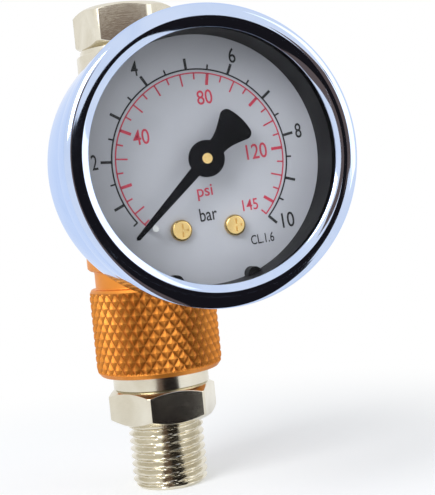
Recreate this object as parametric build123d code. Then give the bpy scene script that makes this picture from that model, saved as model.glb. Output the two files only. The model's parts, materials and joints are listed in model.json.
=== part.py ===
from build123d import *
import os
from math import acos, atan2, ceil, cos, degrees, hypot, pi, radians, sin, sqrt, tan

os.makedirs("parts", exist_ok=True)

# Inline air pressure regulator with a dial gauge.
# The flow runs up the Z axis, in at the male thread and out at the threaded port on top. z = 0 is the
# shoulder of the lower hexagon, where the male thread ends. The gauge faces -Y. Inside the regulator a
# spring lifts a hollow piston off its seat, and the outlet pressure on the piston head closes it again.
# The knurled sleeve runs on the body's outer thread and lifts the spring plate by three pins that reach
# in through slots.
# Lengths are in millimetres and angles in degrees. Threads are plain cylinders at their major diameter.

# Fits and clearances
thread_gap = 0.02
running_gap = 0.04
seal_gap = 0.05
loose_gap = 0.3
stop_gap = 0.1
cut_overrun = 1.0

# Travels of the moving pieces, measured from the rest pose
sleeve_up = 5.0
sleeve_down = 1.75
piston_lift = 1.2
pointer_sweep = 270.0

# Inlet fitting
inlet_thread_r = 6.5785
inlet_thread_len = 11.4
inlet_chamfer = 0.9
inlet_bore_r = 4.0
hex_flats = 17.0
inlet_hex_len = 6.2
inlet_hex_turn = 32.7
hex_chamfer_angle = 30.0
hex_chamfer_ratio = 1.6
hex_corner_cut = 0.15
inlet_collar_step = 0.4
inlet_collar_len = 2.4
spigot_step = 0.25
spigot_len = 5.0
guide_r = 3.7
guide_len = 7.0
guide_wall_len = 3.0

# Inlet seat
seat_depth = 5.8
seat_disc_r = 2.3
seat_disc_len = 1.2
seat_disc_proud = 0.2
seat_cup_wall = 0.4
seat_cup_floor = 0.6
seat_post_r = 1.3
seat_post_len = 1.8
seat_ring_len = 2.6
seat_ring_wall = 0.8
seat_spoke_width = 1.1
seat_spokes = 3

# Body
body_r = 9.0
body_len = 63.2
body_edge = 0.6
shoulder_edge = 0.2
shoulder_play = 0.3
skirt_step = 1.0
skirt_len = 16.0
land_step = 0.4
land_edge = 0.3
piston_bore_r = 6.0
passage_r = 3.0
outlet_flats = 16.0
outlet_hex_len = 7.0
outlet_hex_turn = 14.9
outlet_groove_depth = 0.65
outlet_groove_len = 0.9
outlet_groove_edge = 0.25
outlet_minor_r = 5.7225
outlet_depth = 11.4
outlet_cone_len = 1.6
outlet_mouth = 0.7

# Gauge port in the side of the body
port_thread_r = 4.864
port_floor = 3.6
port_hole_r = 2.0
boss_r = 6.6
boss_reach = 12.0
boss_edge = 0.5
boss_rise = 0.3

# Piston
stem_r = 2.5
stem_bore_r = 1.3
stem_edge = 1.0
stem_lip = 0.35
head_edge = 0.3
head_len = 3.0
head_recess_r = 4.4
head_recess = 0.5
head_oring_wire = 1.35
stem_oring_wire = 1.4
oring_side_gap = 0.12
drag_oring_wire = 1.5
drag_oring_height = 27.3

# Spring and the parts that set it
spring_len = 14.75
spring_wire = 1.5
spring_mean_r = 4.7
spring_turns = 5.0
plate_gap = 0.25
plate_inner_r = 4.0
plate_len = 2.4
pin_r = 0.8
pin_inner_r = 4.6
pin_reach = 0.7
pin_count = 3
slot_side_gap = 0.2
washer_len = 0.8
washer_rim = 0.7

# Adjusting sleeve
sleeve_wall = 2.1
sleeve_len = 22.05
sleeve_foot = 0.6
sleeve_edge = 0.8
sleeve_edge_turn = 0.24
knurl_len = 15.3
sleeve_groove_depth = 1.25
sleeve_groove_len = 3.0
sleeve_slope = 0.45
sleeve_collar_step = 0.15
sleeve_collar_rise = 0.18

# Gauge case, window and bezel, with depths measured forward from the flow axis
case_r = 20.1
case_wall = 0.6
case_back = 24.6
case_corner_r = 4.5
case_hole_gap = 0.1
bezel_wall = 0.3
bezel_front = 46.9
bezel_plate = 0.9
bezel_skirt = 5.9
bezel_corner_r = 0.9
bezel_band = 2.35
bezel_bevel_width = 0.9
bezel_bevel = 0.7
window_len = 1.6
window_crown = 0.25
window_crown_edge = 0.5
rim_overlap = 0.8
gasket_len = 0.5
gasket_width = 1.1
dial_face = 38.47
dial_len = 0.5
dial_side_gap = 0.2
dial_hole_r = 1.2
spacer_set_back = 0.3
spacer_lug_r = 1.0
spacer_lug_len = 2.0
spacer_lug_sink = 0.4
spacer_lug_spread = 19.0

# Gauge socket
washer_outer_r = 6.3
port_washer_len = 1.0
stem_relief_r = 4.2
stem_thread_len = 7.4
stem_chamfer = 0.6
socket_collar_r = 6.2
socket_collar_len = 1.2
square_flats = 11.0
square_corner_r = 7.2
flange_width = 21.0
flange_height = 12.0
flange_len = 3.0
block_side = 12.0
block_face = 31.0
arm_width = 4.0
arm_reach = 16.0
arm_step = 11.6
arm_face = 33.8
socket_bore_r = 1.2
restrictor_r = 1.7
restrictor_len = 2.5
restrictor_hole_r = 0.3
case_screw_spread = 8.3
case_screw_r = 1.2
case_screw_head_r = 2.0
case_screw_head_len = 1.2
case_screw_head_round = 0.72
case_screw_hole_floor = 0.4
case_screw_play = 0.2

# Bourdon tube
tube_r = 14.6
tube_width = 5.6
tube_thick = 1.8
tube_wall = 0.35
tube_back = 27.6
tube_root_angle = 225.0
tube_seat_angle = 3.0
tube_pocket_angle = 30.0
tip_cap_angle = 8.0
tip_cap_margin = 0.4
tip_plate_len = 0.8
tip_plate_rim = 1.0

# Gauge movement
plate_gauge = 0.9
plate_space = 4.3
plate_margin = 2.2
pillar_r = 1.3
pillar_spigot_r = 0.8
upper_pillar = (3.2, 2.6)
lower_pillar = (3.9, -9.5)
pillar_seat_r = 1.5
movement_screw = (3.4, -2.6)
movement_screw_r = 0.9
movement_screw_len = 3.0
movement_screw_head_r = 1.6
movement_screw_head_len = 0.8
gear_module = 0.2
pinion_teeth = 12
sector_ratio = 8
gear_pressure_angle = 25.0
gear_addendum = 0.9
gear_dedendum = 1.2
gear_thinning = 0.03
spare_teeth = 2
gear_plane = 2.4
sector_len = 0.8
pinion_len = 1.6
sector_rim = 1.3
sector_hub_r = 1.7
spoke_width = 2.6
spoke_rim_width = 5.2
arbor_r = 0.5
arbor_collar_r = 0.95
tail_len = 4.1
tail_width = 2.0
link_angle = 31.0
link_len = 13.0
link_width = 1.6
link_thick = 0.6
link_pin_r = 0.4
link_stand_off = 0.1
hairspring_turns = 3.5
hairspring_steps_per_turn = 20
hairspring_thick = 0.09
hairspring_height = 0.45
hairspring_outer_r = 2.75
collet_r = 0.85

# Dial furniture
dial_screw_r = 0.6
dial_screw_len = 2.5
dial_screw_head_r = 1.5
dial_screw_head_len = 0.85
dial_screw_head_round = 0.425
dial_screw_slot = 0.35
dial_screw_slot_len = 1.8
pointer_height = 2.55
pointer_len = 14.6
pointer_tip = 0.28
pointer_root = 0.85
pointer_hub_r = 2.55
pointer_thick = 0.4
pointer_rest_angle = 223.3
blade_root = (1.8, 1.3)
blade_waist = (3.6, 1.5)
blade_shoulder = (5.2, 2.2)
blade_end_half = 2.95
blade_end_r = 7.5
blade_corner = 0.9
pointer_boss_r = 0.72
pointer_boss_len = 0.8
pointer_boss_cap = 0.2
stop_pin_r = 0.45
stop_pin_place = 12.0
stop_pin_gap = 0.02

# Radii about the flow axis
skirt_r = body_r - skirt_step
land_r = body_r - land_step
outlet_groove_r = body_r - outlet_groove_depth
inlet_collar_r = skirt_r + inlet_collar_step
spigot_r = piston_bore_r + spigot_step
plate_outer_r = piston_bore_r - plate_gap
pin_outer_r = skirt_r + pin_reach
sleeve_bore_r = land_r + loose_gap
sleeve_r = sleeve_bore_r + sleeve_wall
sleeve_groove_r = sleeve_r - sleeve_groove_depth
sleeve_collar_r = sleeve_r - sleeve_collar_step

# Heights along the flow axis
hex_z = 0.0
inlet_end = hex_z - inlet_thread_len
collar_z = hex_z + inlet_hex_len
skirt_z = collar_z + inlet_collar_len
spigot_top = skirt_z + spigot_len
guide_top = spigot_top + guide_len
bore_top = spigot_top - guide_wall_len
seat_top = spigot_top - seat_depth
plate_z = spigot_top + sleeve_down + loose_gap
plate_top = plate_z + plate_len
pin_z = plate_z + plate_len / 2
washer_top = pin_z - pin_r
shoulder_z = washer_top - washer_len
head_z = plate_top + spring_len
head_top = head_z + head_len
piston_ceiling = head_top + stop_gap
stem_end = seat_top + piston_lift
sleeve_z = collar_z + sleeve_down + sleeve_foot
sleeve_thread_z = skirt_z + sleeve_down + loose_gap / 2
sleeve_top = sleeve_z + sleeve_len
land_z = skirt_z + skirt_len
shoulder_of_body = sleeve_top + sleeve_up + shoulder_play
gauge_height = shoulder_of_body + boss_rise + boss_r
body_top = skirt_z + body_len
outlet_hex_z = body_top - outlet_hex_len
outlet_wall_z = body_top - outlet_depth
outlet_floor = outlet_wall_z - outlet_cone_len
slot_half = pin_r + slot_side_gap
slot_low = pin_z - sleeve_down - slot_half
slot_high = pin_z + sleeve_up + slot_half

# Radii and depths through the gauge
case_inner_r = case_r - case_wall
bezel_r = case_r + bezel_wall
bezel_flat_r = bezel_r - bezel_band
bezel_opening_r = bezel_flat_r - bezel_bevel_width
spacer_inner_r = bezel_opening_r + spacer_set_back
case_floor = case_back + case_wall
lip_back = bezel_front - bezel_plate
window_back = lip_back - window_len
spacer_front = window_back - gasket_len
rim_front = lip_back - rim_overlap
dial_back = dial_face - dial_len
inner_disc_r = case_inner_r - dial_side_gap
socket_shoulder = boss_reach + port_washer_len
stem_tip = boss_reach - stem_thread_len
back_plate_front = block_face + plate_gauge
front_plate_back = back_plate_front + plate_space
front_plate_front = front_plate_back + plate_gauge
sector_back = block_face + gear_plane
sector_front = sector_back + sector_len
link_back = sector_front + link_stand_off
link_front = link_back + link_thick
pointer_back = dial_face + pointer_height
tube_front = tube_back + tube_width

# Gear train and linkage, seen from the front with the pinion at the origin
sector_teeth = pinion_teeth * sector_ratio
pinion_pitch_r = gear_module * pinion_teeth / 2
sector_pitch_r = gear_module * sector_teeth / 2
sector_swing = pointer_sweep / sector_ratio
sector_centre = (0.0, -(pinion_pitch_r + sector_pitch_r))
tooth_step = 360.0 / sector_teeth
tail_rest_angle = link_angle - 90 - sector_swing / 2


def polar(radius, angle, centre=(0.0, 0.0)):
    """The point at a radius and an angle from a centre."""
    return (centre[0] + radius * cos(radians(angle)), centre[1] + radius * sin(radians(angle)))


tail_rest = polar(tail_len, tail_rest_angle, sector_centre)
tail_full = polar(tail_len, tail_rest_angle + sector_swing, sector_centre)
tail_middle = ((tail_rest[0] + tail_full[0]) / 2, (tail_rest[1] + tail_full[1]) / 2)
link_end = polar(link_len, link_angle, tail_rest)
tip_pivot = polar(link_len, link_angle, tail_middle)
tip_angle = degrees(atan2(tip_pivot[1], tip_pivot[0]))
tip_travel = hypot(tail_full[0] - tail_rest[0], tail_full[1] - tail_rest[1])
tip_drift = tail_len * (1 - cos(radians(sector_swing / 2)))

BASE = (Align.CENTER, Align.CENTER, Align.MIN)
gauge_plane = Plane(origin=(0, 0, gauge_height), x_dir=(1, 0, 0), z_dir=(0, -1, 0))


def turned(*points):
    """A solid turned about the Z axis from its half section, given as (radius, height) points."""
    outline = Polyline(*[(r, 0, z) for r, z in points], close=True)
    return revolve(make_face(outline), Axis.Z)


def rod(radius, low, high, place=(0.0, 0.0)):
    """A cylinder along Z between two heights."""
    return Pos(place[0], place[1], low) * Cylinder(radius, high - low, align=BASE)


def ring(outer, inner, low, high):
    """A plain ring about the Z axis between two heights."""
    return rod(outer, low, high) - rod(inner, low, high)


def hexagon(flats, low, high, turn, corner_r, chamfer_low=True, chamfer_high=True):
    """A hexagon bar whose corners are turned to corner_r, with turned chamfers at its ends."""
    prism = Pos(0, 0, low) * extrude(RegularPolygon(flats / 2, 6, major_radius=False), high - low)
    prism = Rot(0, 0, turn - 90) * prism
    width = (corner_r - flats / 2) * hex_chamfer_ratio
    drop = width * tan(radians(hex_chamfer_angle))
    edge_r = corner_r - width
    low_r = edge_r if chamfer_low else corner_r
    high_r = edge_r if chamfer_high else corner_r
    envelope = turned(
        (0, low), (low_r, low), (corner_r, low + drop), (corner_r, high - drop), (high_r, high), (0, high)
    )
    return prism & envelope


def oring(outer, wire, middle):
    """A round-section rubber ring of a given outer radius, wire diameter and middle height."""
    return Pos(0, 0, middle) * Torus(outer - wire / 2, wire / 2)


def plate_outline(centres, radius):
    """The outline of a flat plate that wraps round a circle at each of its centres."""
    edges = []
    for centre in centres:
        edges += (Pos(*centre) * Circle(radius)).edges()
    return make_hull(edges)


def both_sides(point):
    """A point and its mirror image to the left of the gauge's centre line."""
    return [point, (-point[0], point[1])]


# Regulator pieces


def make_inlet_fitting():
    """Male thread, hexagon, round collar, threaded spigot and the guide tube for the piston stem."""
    corner_r = hex_flats / 2 / cos(radians(30)) - hex_corner_cut
    fitting = turned(
        (0, inlet_end),
        (inlet_thread_r - inlet_chamfer, inlet_end),
        (inlet_thread_r, inlet_end + inlet_chamfer),
        (inlet_thread_r, hex_z + cut_overrun),
        (0, hex_z + cut_overrun),
    )
    fitting += hexagon(hex_flats, hex_z, collar_z, inlet_hex_turn, corner_r)
    fitting += rod(inlet_collar_r, collar_z - cut_overrun, skirt_z)
    fitting += rod(spigot_r, skirt_z - cut_overrun, spigot_top)
    fitting += rod(guide_r, spigot_top - cut_overrun, guide_top)
    fitting -= rod(inlet_bore_r, inlet_end - cut_overrun, bore_top)
    fitting -= rod(stem_r + running_gap, bore_top - cut_overrun, guide_top + cut_overrun)
    groove_half = stem_oring_wire / 2 + oring_side_gap
    middle = (bore_top + spigot_top) / 2
    fitting -= rod(stem_r + running_gap + stem_oring_wire, middle - groove_half, middle + groove_half)
    return fitting


def make_stem_oring():
    """Seals the sliding piston stem in the fitting, against the inlet pressure."""
    outer = stem_r + running_gap + stem_oring_wire
    return oring(outer, stem_oring_wire, (bore_top + spigot_top) / 2)


def make_seat_holder():
    """A ring pressed into the inlet bore, three spokes, and a cup on a post for the soft seat."""
    cup_r = seat_disc_r + seat_cup_wall
    cup_top = seat_top - seat_disc_proud
    disc_floor = seat_top - seat_disc_len
    cup_low = disc_floor - seat_cup_floor
    post_low = cup_low - seat_post_len
    ring_low = post_low - seat_ring_len
    holder = ring(inlet_bore_r, inlet_bore_r - seat_ring_wall, ring_low, post_low)
    for turn in range(seat_spokes):
        spoke = Pos(inlet_bore_r / 2 - seat_ring_wall / 4, 0, ring_low) * Box(
            inlet_bore_r - seat_ring_wall / 2, seat_spoke_width, seat_ring_len, align=BASE
        )
        holder += Rot(0, 0, 360 / seat_spokes * turn) * spoke
    holder += turned(
        (0, ring_low),
        (seat_post_r, ring_low),
        (seat_post_r, post_low),
        (cup_r, cup_low),
        (cup_r, cup_top),
        (0, cup_top),
    )
    return holder - rod(seat_disc_r, disc_floor, cup_top + cut_overrun)


def make_seat_disc():
    """The soft disc that the end of the piston stem closes on."""
    return rod(seat_disc_r, seat_top - seat_disc_len, seat_top)


def make_piston():
    """Hollow stem and head in one turned piece; air passes up through the stem."""
    head_r = piston_bore_r - running_gap - seal_gap / 2
    middle = (head_z + head_top) / 2
    groove_half = head_oring_wire / 2 + oring_side_gap
    groove_r = piston_bore_r - seal_gap - head_oring_wire
    piston = turned(
        (stem_bore_r, stem_end),
        (stem_bore_r + stem_lip, stem_end),
        (stem_r, stem_end + stem_edge),
        (stem_r, head_z),
        (head_r, head_z),
        (head_r, middle - groove_half),
        (groove_r, middle - groove_half),
        (groove_r, middle + groove_half),
        (head_r, middle + groove_half),
        (head_r, head_top - head_edge),
        (head_r - head_edge, head_top),
        (head_recess_r, head_top),
        (head_recess_r, head_top - head_recess),
        (stem_bore_r, head_top - head_recess),
    )
    return piston


def make_piston_oring():
    """Seals the piston head in the body's bore."""
    return oring(piston_bore_r - seal_gap, head_oring_wire, (head_z + head_top) / 2)


def make_regulator_body():
    """Outlet hexagon, barrel, gauge boss and the slotted, threaded skirt, with its bores."""
    hex_r = min(body_r, outlet_flats / 2 / cos(radians(30)))
    groove_z = outlet_hex_z - outlet_groove_len
    body = turned(
        (0, skirt_z),
        (skirt_r - body_edge, skirt_z),
        (skirt_r, skirt_z + body_edge),
        (skirt_r, land_z),
        (land_r - land_edge, land_z),
        (land_r, land_z + land_edge),
        (land_r, shoulder_of_body),
        (body_r - shoulder_edge, shoulder_of_body),
        (body_r, shoulder_of_body + shoulder_edge),
        (body_r, groove_z - outlet_groove_edge),
        (body_r - outlet_groove_edge, groove_z),
        (outlet_groove_r, groove_z),
        (outlet_groove_r, outlet_hex_z),
        (0, outlet_hex_z),
    )
    body += hexagon(outlet_flats, outlet_hex_z, body_top, outlet_hex_turn, hex_r)
    boss = turned(
        (0, port_floor),
        (boss_r, port_floor),
        (boss_r, boss_reach - boss_edge),
        (boss_r - boss_edge, boss_reach),
        (0, boss_reach),
    )
    body += gauge_plane * boss
    body -= turned(
        (0, skirt_z - cut_overrun),
        (spigot_r + thread_gap, skirt_z - cut_overrun),
        (spigot_r + thread_gap, spigot_top),
        (piston_bore_r, spigot_top),
        (piston_bore_r, piston_ceiling),
        (passage_r, piston_ceiling),
        (passage_r, outlet_floor),
        (outlet_minor_r, outlet_wall_z),
        (outlet_minor_r, body_top - outlet_mouth),
        (outlet_minor_r + outlet_mouth, body_top),
        (outlet_minor_r + outlet_mouth, body_top + cut_overrun),
        (0, body_top + cut_overrun),
    )
    body -= gauge_plane * rod(port_thread_r, port_floor, boss_reach + cut_overrun)
    body -= gauge_plane * rod(port_hole_r, 0, port_floor + cut_overrun)
    groove_half = drag_oring_wire / 2 + oring_side_gap
    groove_r = sleeve_bore_r - seal_gap - drag_oring_wire
    groove = ring(body_r + cut_overrun, groove_r, -groove_half, groove_half)
    body -= Pos(0, 0, drag_oring_height) * groove
    slot = extrude(SlotOverall(slot_high - slot_low, 2 * slot_half), body_r + cut_overrun)
    slot = Plane(origin=(0, 0, (slot_low + slot_high) / 2), x_dir=(0, 0, 1), z_dir=(0, 1, 0)) * slot
    for turn in range(pin_count):
        body -= Rot(0, 0, 360 / pin_count * turn) * slot
    return body


def make_sleeve_oring():
    """Drags on the sleeve's bore so that the setting stays, and keeps dust out of the spring."""
    return oring(sleeve_bore_r - seal_gap, drag_oring_wire, drag_oring_height)


def make_main_spring():
    """Round-wire compression spring between the spring plate and the piston head, ends ground flat."""
    pitch = (spring_len - spring_wire / 2) / spring_turns
    start = plate_top + spring_wire / 4
    path = Pos(0, 0, start) * Helix(pitch, spring_len - spring_wire / 2, spring_mean_r)
    section = Plane(origin=path @ 0, z_dir=path % 0) * Circle(spring_wire / 2)
    wire = sweep(section, path=path, is_frenet=True)
    return wire & rod(spring_mean_r + spring_wire, plate_top, head_z)


def pin_turns():
    """The directions of the pins, matching the slots in the skirt."""
    return [90 + 360 / pin_count * turn for turn in range(pin_count)]


def make_pins(radius):
    """Round pins that reach out from the spring plate through the slots."""
    pins = []
    for turn in pin_turns():
        pin = Plane(origin=(0, 0, pin_z), z_dir=(1, 0, 0)) * rod(radius, pin_inner_r, pin_outer_r)
        pins.append(Rot(0, 0, turn) * pin)
    return pins


def make_spring_plate():
    """Ring under the spring, drilled for the pins that carry it."""
    plate = ring(plate_outer_r, plate_inner_r, plate_z, plate_top)
    for pin in make_pins(pin_r):
        plate -= pin
    return plate


def make_transfer_pins():
    """The pins, pressed into the spring plate and resting on the thrust washer."""
    return Compound(make_pins(pin_r))


def make_thrust_washer():
    """Flat ring on the sleeve's inner shoulder that lets the sleeve turn under the pins."""
    inner = skirt_r + stop_gap
    return ring(inner + washer_rim, inner, shoulder_z + running_gap, washer_top)


def make_adjusting_sleeve():
    """Knurled sleeve with a short inner thread, a shoulder for the washer and a grip groove outside."""
    groove_low = sleeve_z + knurl_len
    groove_high = groove_low + sleeve_groove_len
    sleeve = turned(
        (0, sleeve_z),
        (sleeve_r - sleeve_edge, sleeve_z),
        (sleeve_r - sleeve_edge_turn, sleeve_z + sleeve_edge_turn),
        (sleeve_r, sleeve_z + sleeve_edge),
        (sleeve_r, groove_low - sleeve_slope),
        (sleeve_r - sleeve_slope, groove_low),
        (sleeve_groove_r, groove_low),
        (sleeve_groove_r, groove_high),
        (sleeve_collar_r - sleeve_slope, groove_high + sleeve_collar_rise),
        (sleeve_collar_r, groove_high + sleeve_collar_rise + sleeve_slope),
        (sleeve_collar_r, sleeve_top - sleeve_slope),
        (sleeve_collar_r - sleeve_slope, sleeve_top),
        (0, sleeve_top),
    )
    sleeve -= turned(
        (0, sleeve_z - cut_overrun),
        (inlet_collar_r + loose_gap, sleeve_z - cut_overrun),
        (inlet_collar_r + loose_gap, sleeve_thread_z),
        (skirt_r + running_gap, sleeve_thread_z + loose_gap),
        (skirt_r + running_gap, shoulder_z),
        (sleeve_bore_r, shoulder_z),
        (sleeve_bore_r, sleeve_top + cut_overrun),
        (0, sleeve_top + cut_overrun),
    )
    return sleeve


# Gauge pieces, modelled facing +Z and then set on the gauge plane


def make_port_seal():
    """Flat sealing washer between the boss and the gauge socket."""
    return ring(washer_outer_r, port_thread_r + thread_gap, boss_reach, socket_shoulder)


def tube_section(shrink):
    """The flattened outline of the tube, standing off the axis at the tube's radius."""
    middle = tube_back + tube_width / 2
    width = tube_width - 2 * shrink
    thick = tube_thick - 2 * shrink
    return Plane(origin=(tube_r, 0, middle), x_dir=(0, 0, 1), z_dir=(0, -1, 0)) * SlotOverall(width, thick)


def tube_bend(section, start, stop):
    """A section carried round the gauge's axis, clockwise from start to stop."""
    return Rot(0, 0, stop) * revolve(section, Axis.Z, start - stop)


def make_gauge_socket():
    """Stem with thread and wrench square, the flange in the case, and the arm that holds the tube."""
    thread_r = port_thread_r - thread_gap
    socket = turned(
        (0, stem_tip),
        (thread_r - stem_chamfer, stem_tip),
        (thread_r, stem_tip + stem_chamfer),
        (thread_r, boss_reach - stem_chamfer),
        (stem_relief_r, boss_reach),
        (stem_relief_r, socket_shoulder),
        (socket_collar_r, socket_shoulder),
        (socket_collar_r, socket_shoulder + socket_collar_len),
        (0, socket_shoulder + socket_collar_len),
    )
    square_low = socket_shoulder + socket_collar_len
    square = Pos(0, 0, square_low) * Box(square_flats, square_flats, case_floor - square_low, align=BASE)
    socket += square & rod(square_corner_r, square_low, case_floor)
    flange = RectangleRounded(flange_width, flange_height, flange_height / 4)
    socket += Pos(0, 0, case_floor) * extrude(flange, flange_len)
    block = RectangleRounded(block_side, block_side, block_side / 8)
    socket += Pos(0, 0, case_floor) * extrude(block, block_face - case_floor)
    arm_low = case_floor + loose_gap
    arm = Pos(arm_reach / 2, 0, arm_low) * Box(arm_reach, arm_width, block_face - arm_low, align=BASE)
    tower_len = arm_reach - arm_step
    tower = Box(tower_len, arm_width, arm_face - arm_low, align=BASE)
    arm += Pos(arm_step + tower_len / 2, 0, arm_low) * tower
    socket += Rot(0, 0, tube_root_angle) * arm
    pocket_start = tube_root_angle - tube_seat_angle
    socket -= tube_bend(tube_section(0), pocket_start, tube_root_angle - tube_pocket_angle)
    bore_depth = tube_back + tube_width / 2
    socket -= rod(socket_bore_r, stem_tip - cut_overrun, bore_depth)
    cross_plane = Plane(origin=(0, 0, bore_depth - socket_bore_r), z_dir=(1, 0, 0))
    socket -= Rot(0, 0, tube_root_angle) * cross_plane * rod(socket_bore_r / 2, 0, tube_r)
    socket -= rod(restrictor_r, stem_tip - cut_overrun, stem_tip + restrictor_len)
    screw_floor = case_floor + flange_len - case_screw_hole_floor
    for side in (-1, 1):
        place = (side * case_screw_spread, 0)
        socket -= rod(case_screw_r, case_floor - cut_overrun, screw_floor, place)
    for place in both_sides(movement_screw):
        socket -= rod(movement_screw_r, block_face - movement_screw_len, block_face + cut_overrun, place)
    return socket


def make_restrictor_screw():
    """Small screw with a fine hole in the end of the stem, which damps pressure pulses."""
    screw = rod(restrictor_r, stem_tip, stem_tip + restrictor_len)
    return screw - rod(restrictor_hole_r, stem_tip - cut_overrun, stem_tip + restrictor_len + cut_overrun)


def make_gauge_case():
    """Drawn cup with a round shoulder at the back, a hole for the socket and two screw holes."""
    inner_corner = case_corner_r - case_wall
    outer_line = Line((0, case_back), (case_r - case_corner_r, case_back))
    outer_arc = JernArc((case_r - case_corner_r, case_back), (1, 0), case_corner_r, 90)
    inner_arc = JernArc((case_inner_r - inner_corner, case_floor), (1, 0), inner_corner, 90)
    outline = (
        outer_line
        + outer_arc
        + Polyline(outer_arc @ 1, (case_r, rim_front), (case_inner_r, rim_front), inner_arc @ 1)
        + inner_arc
        + Polyline((case_inner_r - inner_corner, case_floor), (0, case_floor), (0, case_back))
    )
    cup = revolve(Plane.XZ * make_face(outline), Axis.Z)
    cup -= rod(square_corner_r + case_hole_gap, case_back - cut_overrun, case_floor + cut_overrun)
    for side in (-1, 1):
        place = (side * case_screw_spread, 0)
        cup -= rod(case_screw_r + stop_gap, case_back - cut_overrun, case_floor + cut_overrun, place)
    return cup


def make_case_screws():
    """Two pan-head screws through the back of the case into the socket's flange."""
    screws = []
    tip = case_floor + flange_len - case_screw_hole_floor - case_screw_play
    for side in (-1, 1):
        place = (side * case_screw_spread, 0)
        head = rod(case_screw_head_r, case_back - case_screw_head_len, case_back, place)
        head = fillet(head.edges().group_by(Axis.Z)[0], case_screw_head_round)
        shank = rod(case_screw_r, case_back, tip, place)
        screws.append(head + shank)
    return Compound(screws)


def make_bezel_ring():
    """Snap-on ring: skirt over the case, rolled edge, flat front, and a bevel down to the window."""
    skirt_low = bezel_front - bezel_skirt
    corner = JernArc((bezel_r, bezel_front - bezel_corner_r), (0, 1), bezel_corner_r, 90)
    outline = (
        Line((bezel_r, skirt_low), (bezel_r, bezel_front - bezel_corner_r))
        + corner
        + Polyline(
            corner @ 1,
            (bezel_flat_r, bezel_front),
            (bezel_opening_r, bezel_front - bezel_bevel),
            (bezel_opening_r, lip_back),
            (case_inner_r, lip_back),
            (case_inner_r, rim_front),
            (case_r, rim_front),
            (case_r, skirt_low),
            (bezel_r, skirt_low),
        )
    )
    return revolve(Plane.XZ * make_face(outline), Axis.Z)


def make_window():
    """Clear acrylic disc, slightly crowned in front inside the bezel's opening."""
    crown_r = bezel_opening_r - loose_gap
    disc = rod(inner_disc_r, window_back, lip_back)
    crown_face = lip_back + window_crown
    return disc + turned(
        (0, window_back),
        (crown_r, window_back),
        (crown_r, lip_back),
        (crown_r - window_crown_edge, crown_face),
        (0, crown_face),
    )


def make_window_gasket():
    """Flat rubber ring behind the window."""
    return ring(inner_disc_r, inner_disc_r - gasket_width, spacer_front, window_back)


def make_dial_spacer():
    """Black ring between dial and window, with two half-round lugs that reach over the dial."""
    spacer = ring(inner_disc_r, spacer_inner_r, dial_face, spacer_front)
    for side in (-1, 1):
        place = polar(spacer_inner_r, -90 + side * spacer_lug_spread)
        lug = rod(spacer_lug_r, dial_face, dial_face + spacer_lug_len, place)
        spacer += lug & rod(spacer_inner_r + spacer_lug_sink, dial_face, dial_face + spacer_lug_len)
    return spacer


def make_dial_plate():
    """Thin printed dial with a hole for the pointer shaft, the screws and the stop pin."""
    dial = rod(inner_disc_r, dial_back, dial_face) - rod(dial_hole_r, dial_back, dial_face)
    for place in both_sides(lower_pillar):
        dial -= rod(dial_screw_r, dial_back, dial_face, place)
    return dial - rod(stop_pin_r, dial_back, dial_face, stop_pin_centre())


def make_dial_screws():
    """Two cross-slot screws that hold the dial to the movement's lower pillars."""
    screws = []
    top = dial_face + dial_screw_head_len
    for place in both_sides(lower_pillar):
        head = rod(dial_screw_head_r, dial_face, top, place)
        head = fillet(head.edges().group_by(Axis.Z)[-1], dial_screw_head_round)
        for turn in (0, 90):
            slot = Rot(0, 0, turn) * Box(dial_screw_slot_len, dial_screw_slot, cut_overrun, align=BASE)
            head -= Pos(place[0], place[1], top - dial_screw_slot) * slot
        screws.append(head + rod(dial_screw_r, dial_face - dial_screw_len, dial_face, place))
    return Compound(screws)


def pointer_half_width(radius):
    """Half the width of the pointer's needle at a distance from its hub."""
    return pointer_root + (pointer_tip - pointer_root) * radius / pointer_len


def stop_pin_centre():
    """The pin stands just below the pointer at rest, so that the needle leans on it."""
    slope = degrees(atan2(pointer_root - pointer_tip, pointer_len))
    offset = pointer_half_width(stop_pin_place) + stop_pin_r / cos(radians(slope)) + stop_pin_gap
    reach = hypot(stop_pin_place, offset)
    return polar(reach, pointer_rest_angle + degrees(atan2(offset, stop_pin_place)))


def make_stop_pin():
    """Pressed into the dial, as tall as the pointer."""
    return rod(stop_pin_r, dial_back, pointer_back + pointer_thick + stop_gap, stop_pin_centre())


def make_pointer():
    """Needle, round hub and a flared tail blade, cut from sheet."""
    needle = Polyline(
        (0, pointer_root),
        (pointer_len, pointer_tip),
        (pointer_len + pointer_tip, 0),
        (pointer_len, -pointer_tip),
        (0, -pointer_root),
        close=True,
    )
    blade_end = (sqrt(blade_end_r**2 - blade_end_half**2), blade_end_half)
    side = [(-place, half) for place, half in (blade_root, blade_waist, blade_shoulder, blade_end)]
    upper = Spline(*side)
    lower = Spline(*[(x, -y) for x, y in reversed(side)])
    end = ThreePointArc(upper @ 1, (-blade_end_r, 0), lower @ 0)
    blade = extrude(make_face(upper + end + lower + Line(lower @ 1, upper @ 0)), pointer_thick)
    corners = blade.edges().filter_by(Axis.Z).group_by(Axis.X)[0]
    blade = fillet(corners, blade_corner)
    sheet = extrude(make_face(needle), pointer_thick) + rod(pointer_hub_r, 0, pointer_thick) + blade
    sheet -= rod(pointer_boss_r, 0, pointer_thick)
    return Rot(0, 0, pointer_rest_angle) * Pos(0, 0, pointer_back) * sheet


def make_pointer_boss():
    """Brass bush riveted in the pointer and pressed on the shaft."""
    low = pointer_back + pointer_thick / 2 - pointer_boss_len / 2
    boss = rod(pointer_boss_r, low, low + pointer_boss_len)
    return boss - rod(arbor_r, low, low + pointer_boss_len - pointer_boss_cap)


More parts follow.
